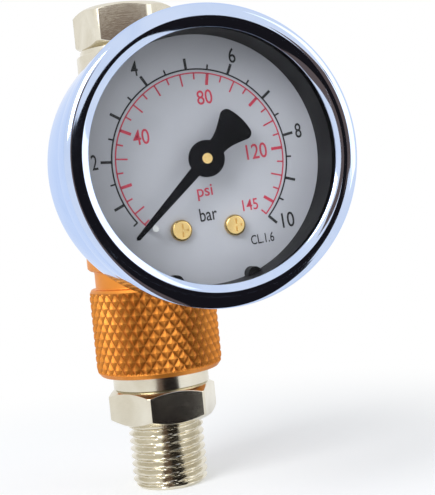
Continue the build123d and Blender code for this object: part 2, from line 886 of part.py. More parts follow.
def flank_angle(radius, pitch_r, teeth):
    """Half the angle that an involute tooth fills at a radius, in radians."""
    base_r = pitch_r * cos(radians(gear_pressure_angle))
    roll = acos(min(1.0, base_r / max(radius, base_r)))
    pitch_roll = radians(gear_pressure_angle)
    at_pitch = pi / (2 * teeth) - gear_thinning / (2 * pitch_r)
    return at_pitch + (tan(pitch_roll) - pitch_roll) - (tan(roll) - roll)


def tooth_points(pitch_r, teeth, angle):
    """The outline of one tooth, clockwise side first, from root over the tip to root."""
    root = pitch_r - gear_dedendum * gear_module
    tip = pitch_r + gear_addendum * gear_module
    steps = (root, pitch_r - 0.5 * gear_module, pitch_r, pitch_r + 0.5 * gear_module, tip)
    rising = [polar(r, angle - degrees(flank_angle(r, pitch_r, teeth))) for r in steps]
    falling = [polar(r, angle + degrees(flank_angle(r, pitch_r, teeth))) for r in reversed(steps)]
    return rising + falling


def make_pinion_shaft():
    """Pinion cut on the pointer's shaft, with the hairspring's collet."""
    outline = []
    for tooth in range(pinion_teeth):
        outline += tooth_points(pinion_pitch_r, pinion_teeth, -90 + (tooth + 0.5) * 360 / pinion_teeth)
    low = (sector_back + sector_front) / 2 - pinion_len / 2
    shaft = Pos(0, 0, low) * extrude(make_face(Polyline(*outline, close=True)), pinion_len)
    shaft_top = pointer_back + pointer_thick / 2 + pointer_boss_len / 2 - pointer_boss_cap
    shaft += rod(arbor_r, block_face + stop_gap, shaft_top)
    collet_low = low + pinion_len - stop_gap
    return shaft + rod(collet_r, collet_low, collet_low + hairspring_height + 2 * stop_gap)


def make_sector_gear():
    """Toothed sector on a tapering spoke, with the tail that the link pulls."""
    first = -spare_teeth
    last = ceil(sector_swing / tooth_step) + spare_teeth
    outline = []
    for tooth in range(last, first - 1, -1):
        outline += tooth_points(sector_pitch_r, sector_teeth, 90 - tooth * tooth_step)
    inner_r = sector_pitch_r - sector_rim
    start = 90 - last * tooth_step
    stop = 90 - first * tooth_step
    middle = (start + stop) / 2
    rim = (
        Polyline(*outline)
        + Line(outline[-1], polar(inner_r, stop))
        + ThreePointArc(polar(inner_r, stop), polar(inner_r, middle), polar(inner_r, start))
        + Line(polar(inner_r, start), outline[0])
    )
    sheet = extrude(make_face(rim), sector_len)
    spoke_end = inner_r + sector_rim / 3
    spoke = Polyline(
        (0, spoke_width / 2),
        (spoke_end, spoke_rim_width / 2),
        (spoke_end, -spoke_rim_width / 2),
        (0, -spoke_width / 2),
        close=True,
    )
    sheet += Rot(0, 0, middle) * extrude(make_face(spoke), sector_len)
    sheet += rod(sector_hub_r, 0, sector_len)
    tail = Pos(tail_len / 2, 0, 0) * extrude(SlotCenterToCenter(tail_len, tail_width), sector_len)
    sheet += Rot(0, 0, tail_rest_angle) * tail
    sheet -= rod(arbor_r, 0, sector_len)
    sheet -= rod(link_pin_r + running_gap, 0, sector_len, polar(tail_len, tail_rest_angle))
    return Pos(sector_centre[0], sector_centre[1], sector_back) * sheet


def make_sector_arbor():
    """Shaft of the sector, with collars either side and a pivot in each plate."""
    arbor = rod(arbor_r, block_face + stop_gap, front_plate_front - stop_gap, sector_centre)
    lower = ring(arbor_collar_r, arbor_r, back_plate_front + stop_gap, sector_back)
    upper = ring(arbor_collar_r, arbor_r, sector_front, front_plate_back - stop_gap)
    return arbor + Pos(*sector_centre) * lower + Pos(*sector_centre) * upper


def make_link():
    """Flat link from the sector's tail to the tip of the tube."""
    bar = extrude(SlotCenterToCenter(link_len, link_width), link_thick)
    for side in (-1, 1):
        bar -= rod(link_pin_r, 0, link_thick, (side * link_len / 2, 0))
    middle = polar(link_len / 2, link_angle, tail_rest)
    return Pos(middle[0], middle[1], link_back) * Rot(0, 0, link_angle) * bar


def make_link_pins():
    """Riveted pins at both ends of the link."""
    pins = [
        rod(link_pin_r, sector_back, link_front, tail_rest),
        rod(link_pin_r, tube_tip_plate_low() + stop_gap, link_front, link_end),
    ]
    return Compound(pins)


def tube_tip_plate_low():
    """Depth of the back of the tip's flat plate, level with the sector."""
    return link_back - link_stand_off - tip_plate_len


def make_bourdon_tube():
    """Flattened, hollow C-shaped tube that uncoils a little under pressure."""
    start = tube_root_angle - tube_seat_angle
    return tube_bend(tube_section(0) - tube_section(tube_wall), start, tip_angle)


def make_tube_tip():
    """End cap of the tube with a slotted plate for the link's pin."""
    low = tube_back - tip_cap_margin / 2
    high = tube_tip_plate_low() + tip_plate_len / 2
    section_plane = Plane(origin=(tube_r, 0, (low + high) / 2), x_dir=(0, 0, 1), z_dir=(0, -1, 0))
    section = section_plane * Rectangle(high - low, tube_thick + 2 * tip_cap_margin)
    cap = tube_bend(section, tip_angle, tip_angle - tip_cap_angle)
    slot_width = 2 * (link_pin_r + stop_gap) + tip_drift
    slot_len = tip_travel + slot_width
    outline = SlotOverall(slot_len + 2 * tip_plate_rim, slot_width + 2 * tip_plate_rim)
    plate = extrude(outline, tip_plate_len)
    plate_place = Pos(tip_pivot[0], tip_pivot[1], tube_tip_plate_low()) * Rot(0, 0, link_angle)
    opening = Pos(0, 0, -tip_plate_len) * extrude(SlotOverall(slot_len, slot_width), 3 * tip_plate_len)
    return cap + plate_place * plate - plate_place * opening


def pillar_places():
    """The four pillars: two beside the pinion and two beside the sector's arbor."""
    return both_sides(upper_pillar) + both_sides(lower_pillar)


def make_movement_plate(low):
    """Brass plate with holes for the pillars and the two pivots."""
    outline = plate_outline(pillar_places() + [sector_centre], plate_margin)
    sheet = Pos(0, 0, low) * extrude(outline, plate_gauge)
    for place in pillar_places():
        sheet -= rod(pillar_spigot_r, low, low + plate_gauge, place)
    for place in ((0.0, 0.0), sector_centre):
        sheet -= rod(arbor_r + running_gap, low, low + plate_gauge, place)
    return sheet


def make_back_plate():
    """Plate screwed to the socket."""
    sheet = make_movement_plate(block_face)
    for place in both_sides(movement_screw):
        sheet -= rod(movement_screw_r, block_face, back_plate_front, place)
    return sheet


def make_front_plate():
    """Plate under the dial."""
    return make_movement_plate(front_plate_back)


def make_movement_pillars():
    """Shouldered pillars between the plates; the lower two also carry the dial."""
    pillars = []
    for place in pillar_places():
        pillar = rod(pillar_spigot_r, block_face, front_plate_front, place)
        pillar += rod(pillar_r, back_plate_front, front_plate_back, place)
        if place[1] < 0:
            pillar += rod(pillar_seat_r, front_plate_front, dial_back, place)
            pillar -= rod(dial_screw_r, dial_face - dial_screw_len, dial_back, place)
        pillars.append(pillar)
    return Compound(pillars)


def make_movement_screws():
    """Two screws that hold the movement's back plate on the socket."""
    screws = []
    for place in both_sides(movement_screw):
        head_face = back_plate_front + movement_screw_head_len
        screw = rod(movement_screw_head_r, back_plate_front, head_face, place)
        screw += rod(movement_screw_r, block_face - movement_screw_len, back_plate_front, place)
        screws.append(screw)
    return Compound(screws)


def make_hairspring():
    """Flat spiral that takes up the play between sector and pinion."""
    inner_r = collet_r + stop_gap
    end_angle = degrees(atan2(upper_pillar[1], upper_pillar[0]))
    steps = int(hairspring_turns * hairspring_steps_per_turn)
    inner_side = []
    outer_side = []
    for step in range(steps + 1):
        share = step / steps
        radius = inner_r + (hairspring_outer_r - inner_r - hairspring_thick) * share
        angle = end_angle - 360 * hairspring_turns * (1 - share)
        inner_side.append(polar(radius, angle))
        outer_side.append(polar(radius + hairspring_thick, angle))
    strip = extrude(make_face(Polyline(*inner_side, *reversed(outer_side), close=True)), hairspring_height)
    low = (sector_back + sector_front) / 2 + pinion_len / 2
    return Pos(0, 0, low) * strip


regulator_pieces = {
    "inlet_fitting": make_inlet_fitting(),
    "stem_oring": make_stem_oring(),
    "seat_holder": make_seat_holder(),
    "seat_disc": make_seat_disc(),
    "piston": make_piston(),
    "piston_oring": make_piston_oring(),
    "regulator_body": make_regulator_body(),
    "sleeve_oring": make_sleeve_oring(),
    "main_spring": make_main_spring(),
    "spring_plate": make_spring_plate(),
    "transfer_pins": make_transfer_pins(),
    "thrust_washer": make_thrust_washer(),
    "adjusting_sleeve": make_adjusting_sleeve(),
}

gauge_pieces = {
    "port_seal": make_port_seal(),
    "gauge_socket": make_gauge_socket(),
    "restrictor_screw": make_restrictor_screw(),
    "gauge_case": make_gauge_case(),
    "case_screws": make_case_screws(),
    "bezel_ring": make_bezel_ring(),
    "window": make_window(),
    "window_gasket": make_window_gasket(),
    "dial_spacer": make_dial_spacer(),
    "dial_plate": make_dial_plate(),
    "dial_screws": make_dial_screws(),
    "stop_pin": make_stop_pin(),
    "pointer": make_pointer(),
    "pointer_boss": make_pointer_boss(),
    "pinion_shaft": make_pinion_shaft(),
    "sector_gear": make_sector_gear(),
    "sector_arbor": make_sector_arbor(),
    "link": make_link(),
    "link_pins": make_link_pins(),
    "bourdon_tube": make_bourdon_tube(),
    "tube_tip": make_tube_tip(),
    "movement_back_plate": make_back_plate(),
    "movement_front_plate": make_front_plate(),
    "movement_pillars": make_movement_pillars(),
    "movement_screws": make_movement_screws(),
    "hairspring": make_hairspring(),
}

for name, shape in regulator_pieces.items():
    export_step(shape, f"parts/{name}.step")
for name, shape in gauge_pieces.items():
    export_step(gauge_plane * shape, f"parts/{name}.step")
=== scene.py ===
import json
from math import cos, pi, radians, sin

import bpy
import numpy as np
from mathutils import Matrix, Vector


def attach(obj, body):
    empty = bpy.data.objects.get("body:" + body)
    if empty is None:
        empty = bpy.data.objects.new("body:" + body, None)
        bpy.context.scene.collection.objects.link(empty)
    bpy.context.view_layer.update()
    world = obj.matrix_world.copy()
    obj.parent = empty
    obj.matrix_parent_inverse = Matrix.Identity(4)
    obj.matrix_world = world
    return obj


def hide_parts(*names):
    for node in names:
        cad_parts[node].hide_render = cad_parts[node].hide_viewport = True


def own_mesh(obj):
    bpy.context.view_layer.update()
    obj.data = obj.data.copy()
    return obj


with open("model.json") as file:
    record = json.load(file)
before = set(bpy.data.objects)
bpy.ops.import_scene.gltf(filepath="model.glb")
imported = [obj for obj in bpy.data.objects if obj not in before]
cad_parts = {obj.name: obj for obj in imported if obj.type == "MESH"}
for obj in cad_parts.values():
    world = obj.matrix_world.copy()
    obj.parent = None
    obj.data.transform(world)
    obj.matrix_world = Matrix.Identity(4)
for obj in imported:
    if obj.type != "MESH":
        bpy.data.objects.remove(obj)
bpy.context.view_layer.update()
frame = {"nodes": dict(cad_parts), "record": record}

nodes = frame["nodes"]
MM = 0.001

# Lengths are in millimetres and angles in degrees. Heights are measured from the lower hexagon's
# shoulder, and depths in the gauge forward from the flow axis.
GAUGE_HEIGHT = 42.8

INLET_END = -11.4
INLET_THREAD_R = 6.5785
PIPE_PITCH = 1.337
PIPE_THREAD_DEPTH = 0.80
INLET_BORE_R = 4.0
LOWER_HEX = (17.0, 9.665, 32.7)
HEX_TOP = 6.2
COLLAR_R = 8.4
SKIRT_Z = 8.6
SPIGOT_R = 6.25
SPIGOT_TOP = 13.6
GUIDE_R = 3.7
GUIDE_TOP = 20.6
STEM_HOLE_R = 2.54
INLET_BORE_TOP = 10.6

SKIRT_R = 8.0
SKIRT_PITCH = 1.0
SKIRT_THREAD_DEPTH = 0.55
LAND_Z = 24.6
LAND_R = 8.6
BODY_R = 9.0
SHOULDER_Z = 35.9
GROOVE_Z = 63.9
GROOVE_R = 8.35
OUTLET_HEX_Z = 64.8
BODY_TOP = 71.8
UPPER_HEX = (16.0, 9.0, 14.9)
OUTLET_R = 5.7225
OUTLET_MOUTH_R = 6.4225
OUTLET_WALL_Z = 60.4
OUTLET_FLOOR_Z = 58.8
PASSAGE_R = 3.0
PISTON_BORE_R = 6.0
PISTON_CEILING = 35.9
BOSS_R = 6.6
BOSS_REACH = 12.0
PORT_R = 4.864

SLEEVE_Z = 8.55
SLEEVE_R = 11.0
SLEEVE_TOP = 30.6
KNURL_TOP = 23.85
KNURL_STARTS = 36
KNURL_PITCH = 2.6
KNURL_DEPTH = 0.5
KNURL_FLAT = 0.75
SLEEVE_GROOVE_R = 9.75
SLEEVE_GROOVE_TOP = 26.85
SLEEVE_COLLAR_R = 10.85
SLEEVE_BORE_R = 8.9
SLEEVE_SHOULDER_Z = 15.25
SLEEVE_MOUTH_R = 8.7
SLEEVE_THREAD_Z = 10.5

SPRING_LOW = 18.05
SPRING_HIGH = 32.8
SPRING_WIRE = 1.5
SPRING_R = 4.7
SPRING_TURNS = 5.0

CASE_R = 20.1
CASE_BACK = 24.6
CASE_CORNER = 4.5
CASE_WALL = 0.6
CASE_FRONT = 45.2
CASE_HOLE_R = 7.3
BEZEL_R = 20.4
BEZEL_BACK = 41.0
BEZEL_FRONT = 46.9
BEZEL_FLAT_R = 18.05
BEZEL_OPENING_R = 17.15
BEZEL_BEVEL = 0.7
BEZEL_CROWN = 0.05
BEZEL_ROLL = 1.1
LIP_BACK = 46.0
WINDOW_BACK = 44.4
WINDOW_R = 19.3
WINDOW_CROWN = 0.25
DIAL_FACE = 38.47
DIAL_THICK = 0.5
DIAL_R = 19.3
DIAL_HOLE_R = 1.2

# The printed scale: one black bar scale outside and one red psi scale inside, turned a little anticlockwise
PRINT_TURN = 4.19
DEGREES_PER_BAR = 27.57
MIDDLE_BAR = 5.0
PSI_PER_BAR = 14.504
INK_HEIGHT = 0.03
BAR_ARC_R = 12.63
PSI_ARC_R = 12.10

# Camera, from the fit to the photograph
CAMERA_PLACE = (-41.26, -180.26, 35.87)
CAMERA_FORWARD = (0.2865, 0.9574, -0.0372)
CAMERA_UP = (0.1046, 0.0074, 0.9945)
FOCAL_PIXELS = 1052.0
IMAGE_HEIGHT = 495
SENSOR = 36.0


# Surfaces


def piece_from_grid(name, points, close_rows=True, relief=None):
    """A mesh on a grid of points (rows, columns, xyz) in millimetres: one quad between each four neighbours.

    Columns join back to the first, and so do closed rows. Where rows aren't closed, a first or last row
    whose points all coincide becomes one pole point. With a relief, one height per point, each quad is
    split in two along the lower of its diagonals, so that valleys stay sharp."""
    rows, columns, _ = points.shape
    pole_low = not close_rows and np.ptp(points[0], axis=0).max() < 1e-9
    pole_high = not close_rows and np.ptp(points[-1], axis=0).max() < 1e-9
    body = points[int(pole_low) : rows - int(pole_high)]
    count = body.shape[0]
    index = np.arange(count * columns).reshape(count, columns)
    a = index if close_rows else index[:-1]
    b = np.roll(index, -1, axis=0) if close_rows else index[1:]
    quads = np.stack([a, np.roll(a, -1, axis=1), np.roll(b, -1, axis=1), b], axis=-1).reshape(-1, 4)
    if relief is None:
        corners = [quads.reshape(-1)]
        sizes = [np.full(len(quads), 4)]
    else:
        height = relief.reshape(-1)[quads]
        along = (height[:, 0] + height[:, 2] <= height[:, 1] + height[:, 3])[:, None]
        halves = np.where(along, quads[:, [0, 1, 2, 0, 2, 3]], quads[:, [0, 1, 3, 1, 2, 3]])
        corners = [halves.reshape(-1)]
        sizes = [np.full(len(quads) * 2, 3)]
    places = [body.reshape(-1, 3)]
    total = count * columns
    for used, row, point, flip in ((pole_low, index[0], points[0, 0], True), (pole_high, index[-1], points[-1, 0], False)):
        if used:
            pole = np.full(columns, total)
            fan = np.stack([row, np.roll(row, -1), pole], axis=-1)
            corners.append((fan[:, ::-1] if flip else fan).reshape(-1))
            sizes.append(np.full(columns, 3))
            places.append(point[None])
            total += 1
    return piece_from_faces(name, np.concatenate(places), np.concatenate(corners), np.concatenate(sizes))


def piece_from_faces(name, places, corners, sizes, smooth_angle=28.0):
    """A mesh object from points in millimetres, the faces' corner indices in a row, and the faces' sizes.

    The faces are turned over when the signed volume, the sum of p0 . (p1 x p2) / 6, is negative."""
    starts = np.concatenate([[0], np.cumsum(sizes)[:-1]])
    p0, p1, p2 = (places[corners[starts + k]] for k in range(3))
    last = places[corners[starts + sizes - 1]]
    volume = np.einsum("ij,ij->i", p0, np.cross(p1, p2)).sum() + np.einsum("ij,ij->i", p0, np.cross(p2, last)).sum()
    if volume < 0:
        order = np.repeat(starts, sizes) + np.repeat(sizes, sizes) - 1
        order = order - (np.arange(len(corners)) - np.repeat(starts, sizes))
        corners = corners[order]
    mesh = bpy.data.meshes.new(name)
    mesh.vertices.add(len(places))
    mesh.vertices.foreach_set("co", (places * MM).astype(np.float32).ravel())
    mesh.loops.add(len(corners))
    mesh.loops.foreach_set("vertex_index", corners.astype(np.int32))
    mesh.polygons.add(len(sizes))
    mesh.polygons.foreach_set("loop_start", starts.astype(np.int32))
    mesh.update(calc_edges=True)
    mesh.validate()
    mesh.shade_smooth()
    mesh.set_sharp_from_angle(angle=radians(smooth_angle))
    piece = bpy.data.objects.new(name, mesh)
    bpy.context.scene.collection.objects.link(piece)
    return piece


def around(count):
    """Evenly spaced angles for one full turn, in radians."""
    return np.arange(count) * 2 * pi / count


def flow_place(r, theta, z):
    """Cylinder coordinates about the flow axis as points (x, y, z)."""
    r, theta, z = np.broadcast_arrays(r, theta, z)
    return np.stack([r * np.cos(theta), r * np.sin(theta), z], axis=-1)


def gauge_place(r, theta, depth):
    """Cylinder coordinates about the gauge's axis, as seen from the front, as points (x, y, z)."""
    r, theta, depth = np.broadcast_arrays(r, theta, depth)
    return np.stack([r * np.cos(theta), -depth, GAUGE_HEIGHT + r * np.sin(theta)], axis=-1)


def softened(path, steps=4):
    """Rounds the corners of a path of (r, z, soft): each corner becomes a parabola that starts and ends
    at the distance soft from it. r and z may be arrays over the angles."""
    shape = np.broadcast_shapes(*[np.shape(value) for corner in path for value in corner[:2]])
    points = [np.stack([np.broadcast_to(r, shape), np.broadcast_to(z, shape)]) for r, z, _ in path]
    rows = []
    for i, (_, _, soft) in enumerate(path):
        here, before, after = points[i], points[i - 1], points[(i + 1) % len(path)]
        if soft == 0:
            rows.append(here)
            continue
        back, ahead = before - here, after - here
        back_len = np.sqrt((back**2).sum(0))
        ahead_len = np.sqrt((ahead**2).sum(0))
        start = here + back * np.minimum(soft / np.maximum(back_len, 1e-9), 0.45)
        stop = here + ahead * np.minimum(soft / np.maximum(ahead_len, 1e-9), 0.45)
        for t in np.linspace(0, 1, steps + 1):
            rows.append((1 - t) ** 2 * start + 2 * t * (1 - t) * here + t**2 * stop)
    rows = np.array(rows)
    return rows[:, 0], rows[:, 1]


def turned_piece(name, path, place=flow_place, count=192, closed=True):
    """A solid of revolution: the softened path carried round the axis at evenly spaced angles."""
    theta = around(count)
    r, z = softened([(np.zeros(count) + p[0], np.zeros(count) + p[1], p[2]) for p in path])
    return piece_from_grid(name, place(r, theta[None], z), close_rows=closed)


def hexagon_radius(theta, flats, corner_r, turn):
    """Distance from the axis to a hexagon's faces: flats / 2 over the cosine of the angle from the
    nearest face's middle, and no more than the turned corners. Turn is the direction of one face."""
    from_face = (np.degrees(theta) - turn + 30) % 60 - 30
    return np.minimum(flats / 2 / np.cos(np.radians(from_face)), corner_r)


def hexagon_angles(theta, flats, corner_r, turn):
    """Adds to the angles those where a hexagon's flat faces end at its turned corners."""
    half = np.degrees(np.arccos(flats / 2 / corner_r))
    middles = turn + 60 * np.arange(6)
    edges = np.radians(np.concatenate([middles - half, middles + half]) % 360)
    return np.unique(np.round(np.concatenate([theta, edges]), 6))


def hexagon_path(theta, hexagon, low, high, soft_low=0.12, soft_high=0.12):
    """Corners of a hexagon with 30 degree chamfers: each chamfer is a cone that starts inside the flats
    and meets the faces in an arc."""
    flats, corner_r, turn = hexagon
    face = hexagon_radius(theta, flats, corner_r, turn)
    edge = corner_r - (corner_r - flats / 2) * 1.6
    drop = np.maximum(face - edge, 0.02) * np.tan(radians(30))
    return [
        (edge, low, 0.05),
        (face, low + drop, soft_low),
        (face, high - drop, soft_high),
        (edge, high, 0.05),
    ]


def thread_wave(theta, z, pitch):
    """Depth of a right-hand thread from crest 0 to root 1: a triangle wave of height over pitch minus
    turns, with its top and bottom eighths cut flat."""
    phase = (z / pitch - theta / (2 * pi)) % 1.0
    wave = 1 - np.abs(2 * phase - 1)
    return np.clip((wave - 0.12) / 0.76, 0, 1)


def ramp(value, low, high):
    """A smooth rise from 0 at low to 1 at high."""
    t = np.clip((value - low) / (high - low), 0, 1)
    return t * t * (3 - 2 * t)


def threaded_rows(theta, crest_r, depth, pitch, low, high, per_turn=14):
    """Rows (r, z) of an external thread, fading in and out over its first and last half pitch."""
    z = np.linspace(low, high, int((high - low) / pitch * per_turn))[:, None]
    fade = ramp(z, low, low + pitch / 2) * ramp(z, high, high - pitch / 2)
    r = crest_r - depth * thread_wave(theta[None], z, pitch) * fade
    return [(r[i], z[i, 0], 0) for i in range(len(z))]


def make_inlet_fitting():
    """Threaded stub, hexagon, collar and guide tube as one closed turned skin, bored through."""
    theta = hexagon_angles(around(360), *LOWER_HEX)
    thread = threaded_rows(theta, INLET_THREAD_R, PIPE_THREAD_DEPTH, PIPE_PITCH, INLET_END + 0.05, -0.05)
    chamfered = [(np.minimum(r, INLET_THREAD_R - 0.9 + (z - INLET_END)), z, 0) for r, z, _ in thread]
    path = [(INLET_THREAD_R - 0.95, INLET_END, 0)] + chamfered
    path += hexagon_path(theta, LOWER_HEX, 0, HEX_TOP)
    path += [
        (COLLAR_R, HEX_TOP, 0.05),
        (COLLAR_R, SKIRT_Z, 0.2),
        (SPIGOT_R, SKIRT_Z, 0.1),
        (SPIGOT_R, SPIGOT_TOP, 0.3),
        (GUIDE_R, SPIGOT_TOP, 0.1),
        (GUIDE_R, GUIDE_TOP, 0.2),
        (STEM_HOLE_R, GUIDE_TOP, 0.2),
        (STEM_HOLE_R, INLET_BORE_TOP, 0.1),
        (INLET_BORE_R, INLET_BORE_TOP, 0.2),
        (INLET_BORE_R, INLET_END, 0.4),
    ]
    r, z = softened(path)
    return piece_from_grid("inlet_fitting_surface", flow_place(r, theta[None], z))


def make_regulator_body():
    """Skirt, land, barrel, groove and outlet hexagon as one closed turned skin with a threaded outlet."""
    theta = hexagon_angles(around(288), *UPPER_HEX)
    skirt = threaded_rows(theta, SKIRT_R, SKIRT_THREAD_DEPTH, SKIRT_PITCH, SKIRT_Z + 0.6, LAND_Z - 1.0, 8)
    path = [(SKIRT_R - 0.6, SKIRT_Z, 0.1)] + skirt
    path += [
        (SKIRT_R, LAND_Z, 0.1),
        (LAND_R, LAND_Z, 0.3),
        (LAND_R, SHOULDER_Z, 0.05),
        (BODY_R, SHOULDER_Z, 0.25),
        (BODY_R, GROOVE_Z, 0.25),
        (GROOVE_R, GROOVE_Z, 0.12),
        (GROOVE_R, OUTLET_HEX_Z, 0.12),
    ]
    path += hexagon_path(theta, UPPER_HEX, OUTLET_HEX_Z, BODY_TOP)
    path += [(OUTLET_MOUTH_R, BODY_TOP, 0.1)]
    inner = threaded_rows(theta, OUTLET_R, -PIPE_THREAD_DEPTH, PIPE_PITCH, OUTLET_WALL_Z, BODY_TOP - 0.7, 12)
    path += inner[::-1]
    path += [
        (PASSAGE_R, OUTLET_FLOOR_Z, 0.1),
        (PASSAGE_R, PISTON_CEILING, 0.2),
        (PISTON_BORE_R, PISTON_CEILING, 0.1),
        (PISTON_BORE_R, SPIGOT_TOP, 0.1),
        (SPIGOT_R + 0.02, SPIGOT_TOP, 0.1),
        (SPIGOT_R + 0.02, SKIRT_Z, 0.1),
    ]
    r, z = softened(path, steps=3)
    return piece_from_grid("regulator_body_surface", flow_place(r, theta[None], z))


def make_gauge_boss():
    """The round boss that the gauge screws into."""
    path = [(PORT_R, 4.0, 0), (BOSS_R, 4.0, 0), (BOSS_R, BOSS_REACH, 0.6), (PORT_R, BOSS_REACH, 0.3)]
    return turned_piece("gauge_boss_surface", path, gauge_place)


def make_adjusting_sleeve():
    """Sleeve with a diamond knurl: two sets of helical V grooves, one right- and one left-handed, leave
    pyramids whose height at a point is the smaller distance to a groove of each set."""
    theta = around(KNURL_STARTS * 8)
    band = np.arange(SLEEVE_Z + 0.8, KNURL_TOP - 0.25, KNURL_PITCH / 8)[:, None]
    x = theta[None] * KNURL_STARTS / (2 * pi)
    y = band / KNURL_PITCH
    distances = [np.abs(a - np.round(a)) * 2 for a in (x + y, x - y)]
    peak = np.minimum(np.minimum(*distances) / KNURL_FLAT, 1)
    fade = ramp(band, band[0], band[0] + 0.25) * ramp(band, band[-1], band[-1] - 0.25)
    r = SLEEVE_R - KNURL_DEPTH * ((1 - peak) * fade + 0.35 * (1 - fade))
    path = [(SLEEVE_R - 0.8, SLEEVE_Z, 0.25)]
    path += [(r[i], band[i, 0], 0) for i in range(len(band))]
    path += [
        (SLEEVE_R - 0.45, KNURL_TOP, 0.15),
        (SLEEVE_GROOVE_R, KNURL_TOP, 0.3),
        (SLEEVE_GROOVE_R, SLEEVE_GROOVE_TOP, 0.3),
        (SLEEVE_COLLAR_R - 0.45, SLEEVE_GROOVE_TOP + 0.18, 0.1),
        (SLEEVE_COLLAR_R, SLEEVE_GROOVE_TOP + 0.63, 0.2),
        (SLEEVE_COLLAR_R, SLEEVE_TOP, 0.5),
        (SLEEVE_BORE_R, SLEEVE_TOP, 0.2),
        (SLEEVE_BORE_R, SLEEVE_SHOULDER_Z, 0.1),
        (SKIRT_R + 0.04, SLEEVE_SHOULDER_Z, 0.1),
        (SKIRT_R + 0.04, SLEEVE_THREAD_Z + 0.3, 0.1),
        (SLEEVE_MOUTH_R, SLEEVE_THREAD_Z, 0.1),
        (SLEEVE_MOUTH_R, SLEEVE_Z, 0.2),
    ]
    r, z = softened(path)
    sleeve = piece_from_grid("adjusting_sleeve_surface", flow_place(r, theta[None], z), relief=r)
    # The groove depth is kept on the points; the finishes use it for painted shade in the knurl's grooves.
    depth = np.where((z > SLEEVE_Z + 0.8) & (z < KNURL_TOP - 0.25) & (r > SLEEVE_BORE_R + 1), SLEEVE_R - r, 0)
    groove = sleeve.data.attributes.new("groove_depth", "FLOAT", "POINT")
    groove.data.foreach_set("value", (depth / KNURL_DEPTH).clip(0, 1).astype(np.float32).ravel())
    return sleeve


def make_main_spring():
    """Round wire carried along a helix of even pitch, each end closed at the wire's centre."""
    steps = 400
    share = np.linspace(0, 1, steps)
    turn = share * SPRING_TURNS * 2 * pi
    low = SPRING_LOW + SPRING_WIRE / 2
    high = SPRING_HIGH - SPRING_WIRE / 2
    height = low + (high - low) * share
    around_wire = around(16)
    offset_r = SPRING_WIRE / 2 * np.cos(around_wire)
    offset_z = SPRING_WIRE / 2 * np.sin(around_wire)
    points = flow_place(SPRING_R + offset_r[None], turn[:, None], height[:, None] + offset_z[None])
    ends = [flow_place(SPRING_R, turn[k], height[k]) * np.ones((1, 16, 1)) for k in (0, -1)]
    return piece_from_grid("main_spring_coil", np.concatenate([ends[0], points, ends[1]]), close_rows=False)


def make_gauge_case():
    """Drawn cup with a big round shoulder at the back and a hole for the socket."""
    inner_r = CASE_R - CASE_WALL
    inner_corner = CASE_CORNER - CASE_WALL
    floor = CASE_BACK + CASE_WALL
    outer = [(CASE_R - CASE_CORNER * (1 - sin(t)), CASE_BACK + CASE_CORNER * (1 - cos(t)), 0) for t in np.linspace(0, pi / 2, 17)]
    inner = [(inner_r - inner_corner * (1 - sin(t)), floor + inner_corner * (1 - cos(t)), 0) for t in np.linspace(pi / 2, 0, 17)]
    path = [(CASE_HOLE_R, CASE_BACK, 0.15)] + outer
    path += [(CASE_R, CASE_FRONT, 0.1), (inner_r, CASE_FRONT, 0.1)] + inner + [(CASE_HOLE_R, floor, 0.15)]
    return turned_piece("gauge_case_surface", path, gauge_place, 240)


def make_bezel_ring():
    """Snap-on ring: a quarter circle for the rolled edge, a front that swells by the crown in a parabola,
    a bevel down to the window, and the skirt's small lip."""
    flat_outer = BEZEL_R - BEZEL_ROLL
    share = np.linspace(0, 1, 9)
    crown = [
        (flat_outer + (BEZEL_FLAT_R - flat_outer) * t, BEZEL_FRONT - BEZEL_CROWN * (2 * t - 1) ** 2, 0)
        for t in share
    ]
    turn = [
        (flat_outer + BEZEL_ROLL * cos(t), BEZEL_FRONT - BEZEL_CROWN - BEZEL_ROLL * (1 - sin(t)), 0)
        for t in np.linspace(0, pi / 2, 12)[:-1]
    ]
    path = [(BEZEL_R, BEZEL_BACK, 0.25)] + turn + crown + [
        (BEZEL_OPENING_R, BEZEL_FRONT - BEZEL_BEVEL, 0.08),
        (BEZEL_OPENING_R, LIP_BACK, 0.05),
        (CASE_R - CASE_WALL, LIP_BACK, 0),
        (CASE_R - CASE_WALL, CASE_FRONT, 0),
        (CASE_R, CASE_FRONT, 0),
        (CASE_R, BEZEL_BACK, 0.1),
    ]
    theta = around(288)
    r, z = softened([(np.zeros(288) + p[0], np.zeros(288) + p[1], p[2]) for p in path], steps=8)
    return piece_from_grid("bezel_ring_surface", gauge_place(r, theta[None], z))


def make_window():
    """Clear disc whose front swells by the crown in a parabola: crown times 1 - (r / opening)^2."""
    opening = BEZEL_OPENING_R - 0.35
    swell = [(opening * (1 - t), LIP_BACK + WINDOW_CROWN * (1 - (1 - t) ** 2), 0) for t in np.linspace(0, 1, 14)]
    path = [(0, WINDOW_BACK, 0), (WINDOW_R, WINDOW_BACK, 0.05), (WINDOW_R, LIP_BACK, 0.05)] + swell
    return turned_piece("window_lens", path, gauge_place, 192, closed=False)


def make_dial():
    """Printed sheet with a hole for the pointer's shaft."""
    back = DIAL_FACE - DIAL_THICK
    path = [(DIAL_HOLE_R, back, 0), (DIAL_R, back, 0.05), (DIAL_R, DIAL_FACE, 0.05), (DIAL_HOLE_R, DIAL_FACE, 0.05)]
    return turned_piece("dial_sheet", path, gauge_place)


# Dial print


def scale_angle(bar):
    """Direction of a pressure on the dial, anticlockwise from the right, in degrees."""
    return 90 - DEGREES_PER_BAR * (bar - MIDDLE_BAR) + PRINT_TURN


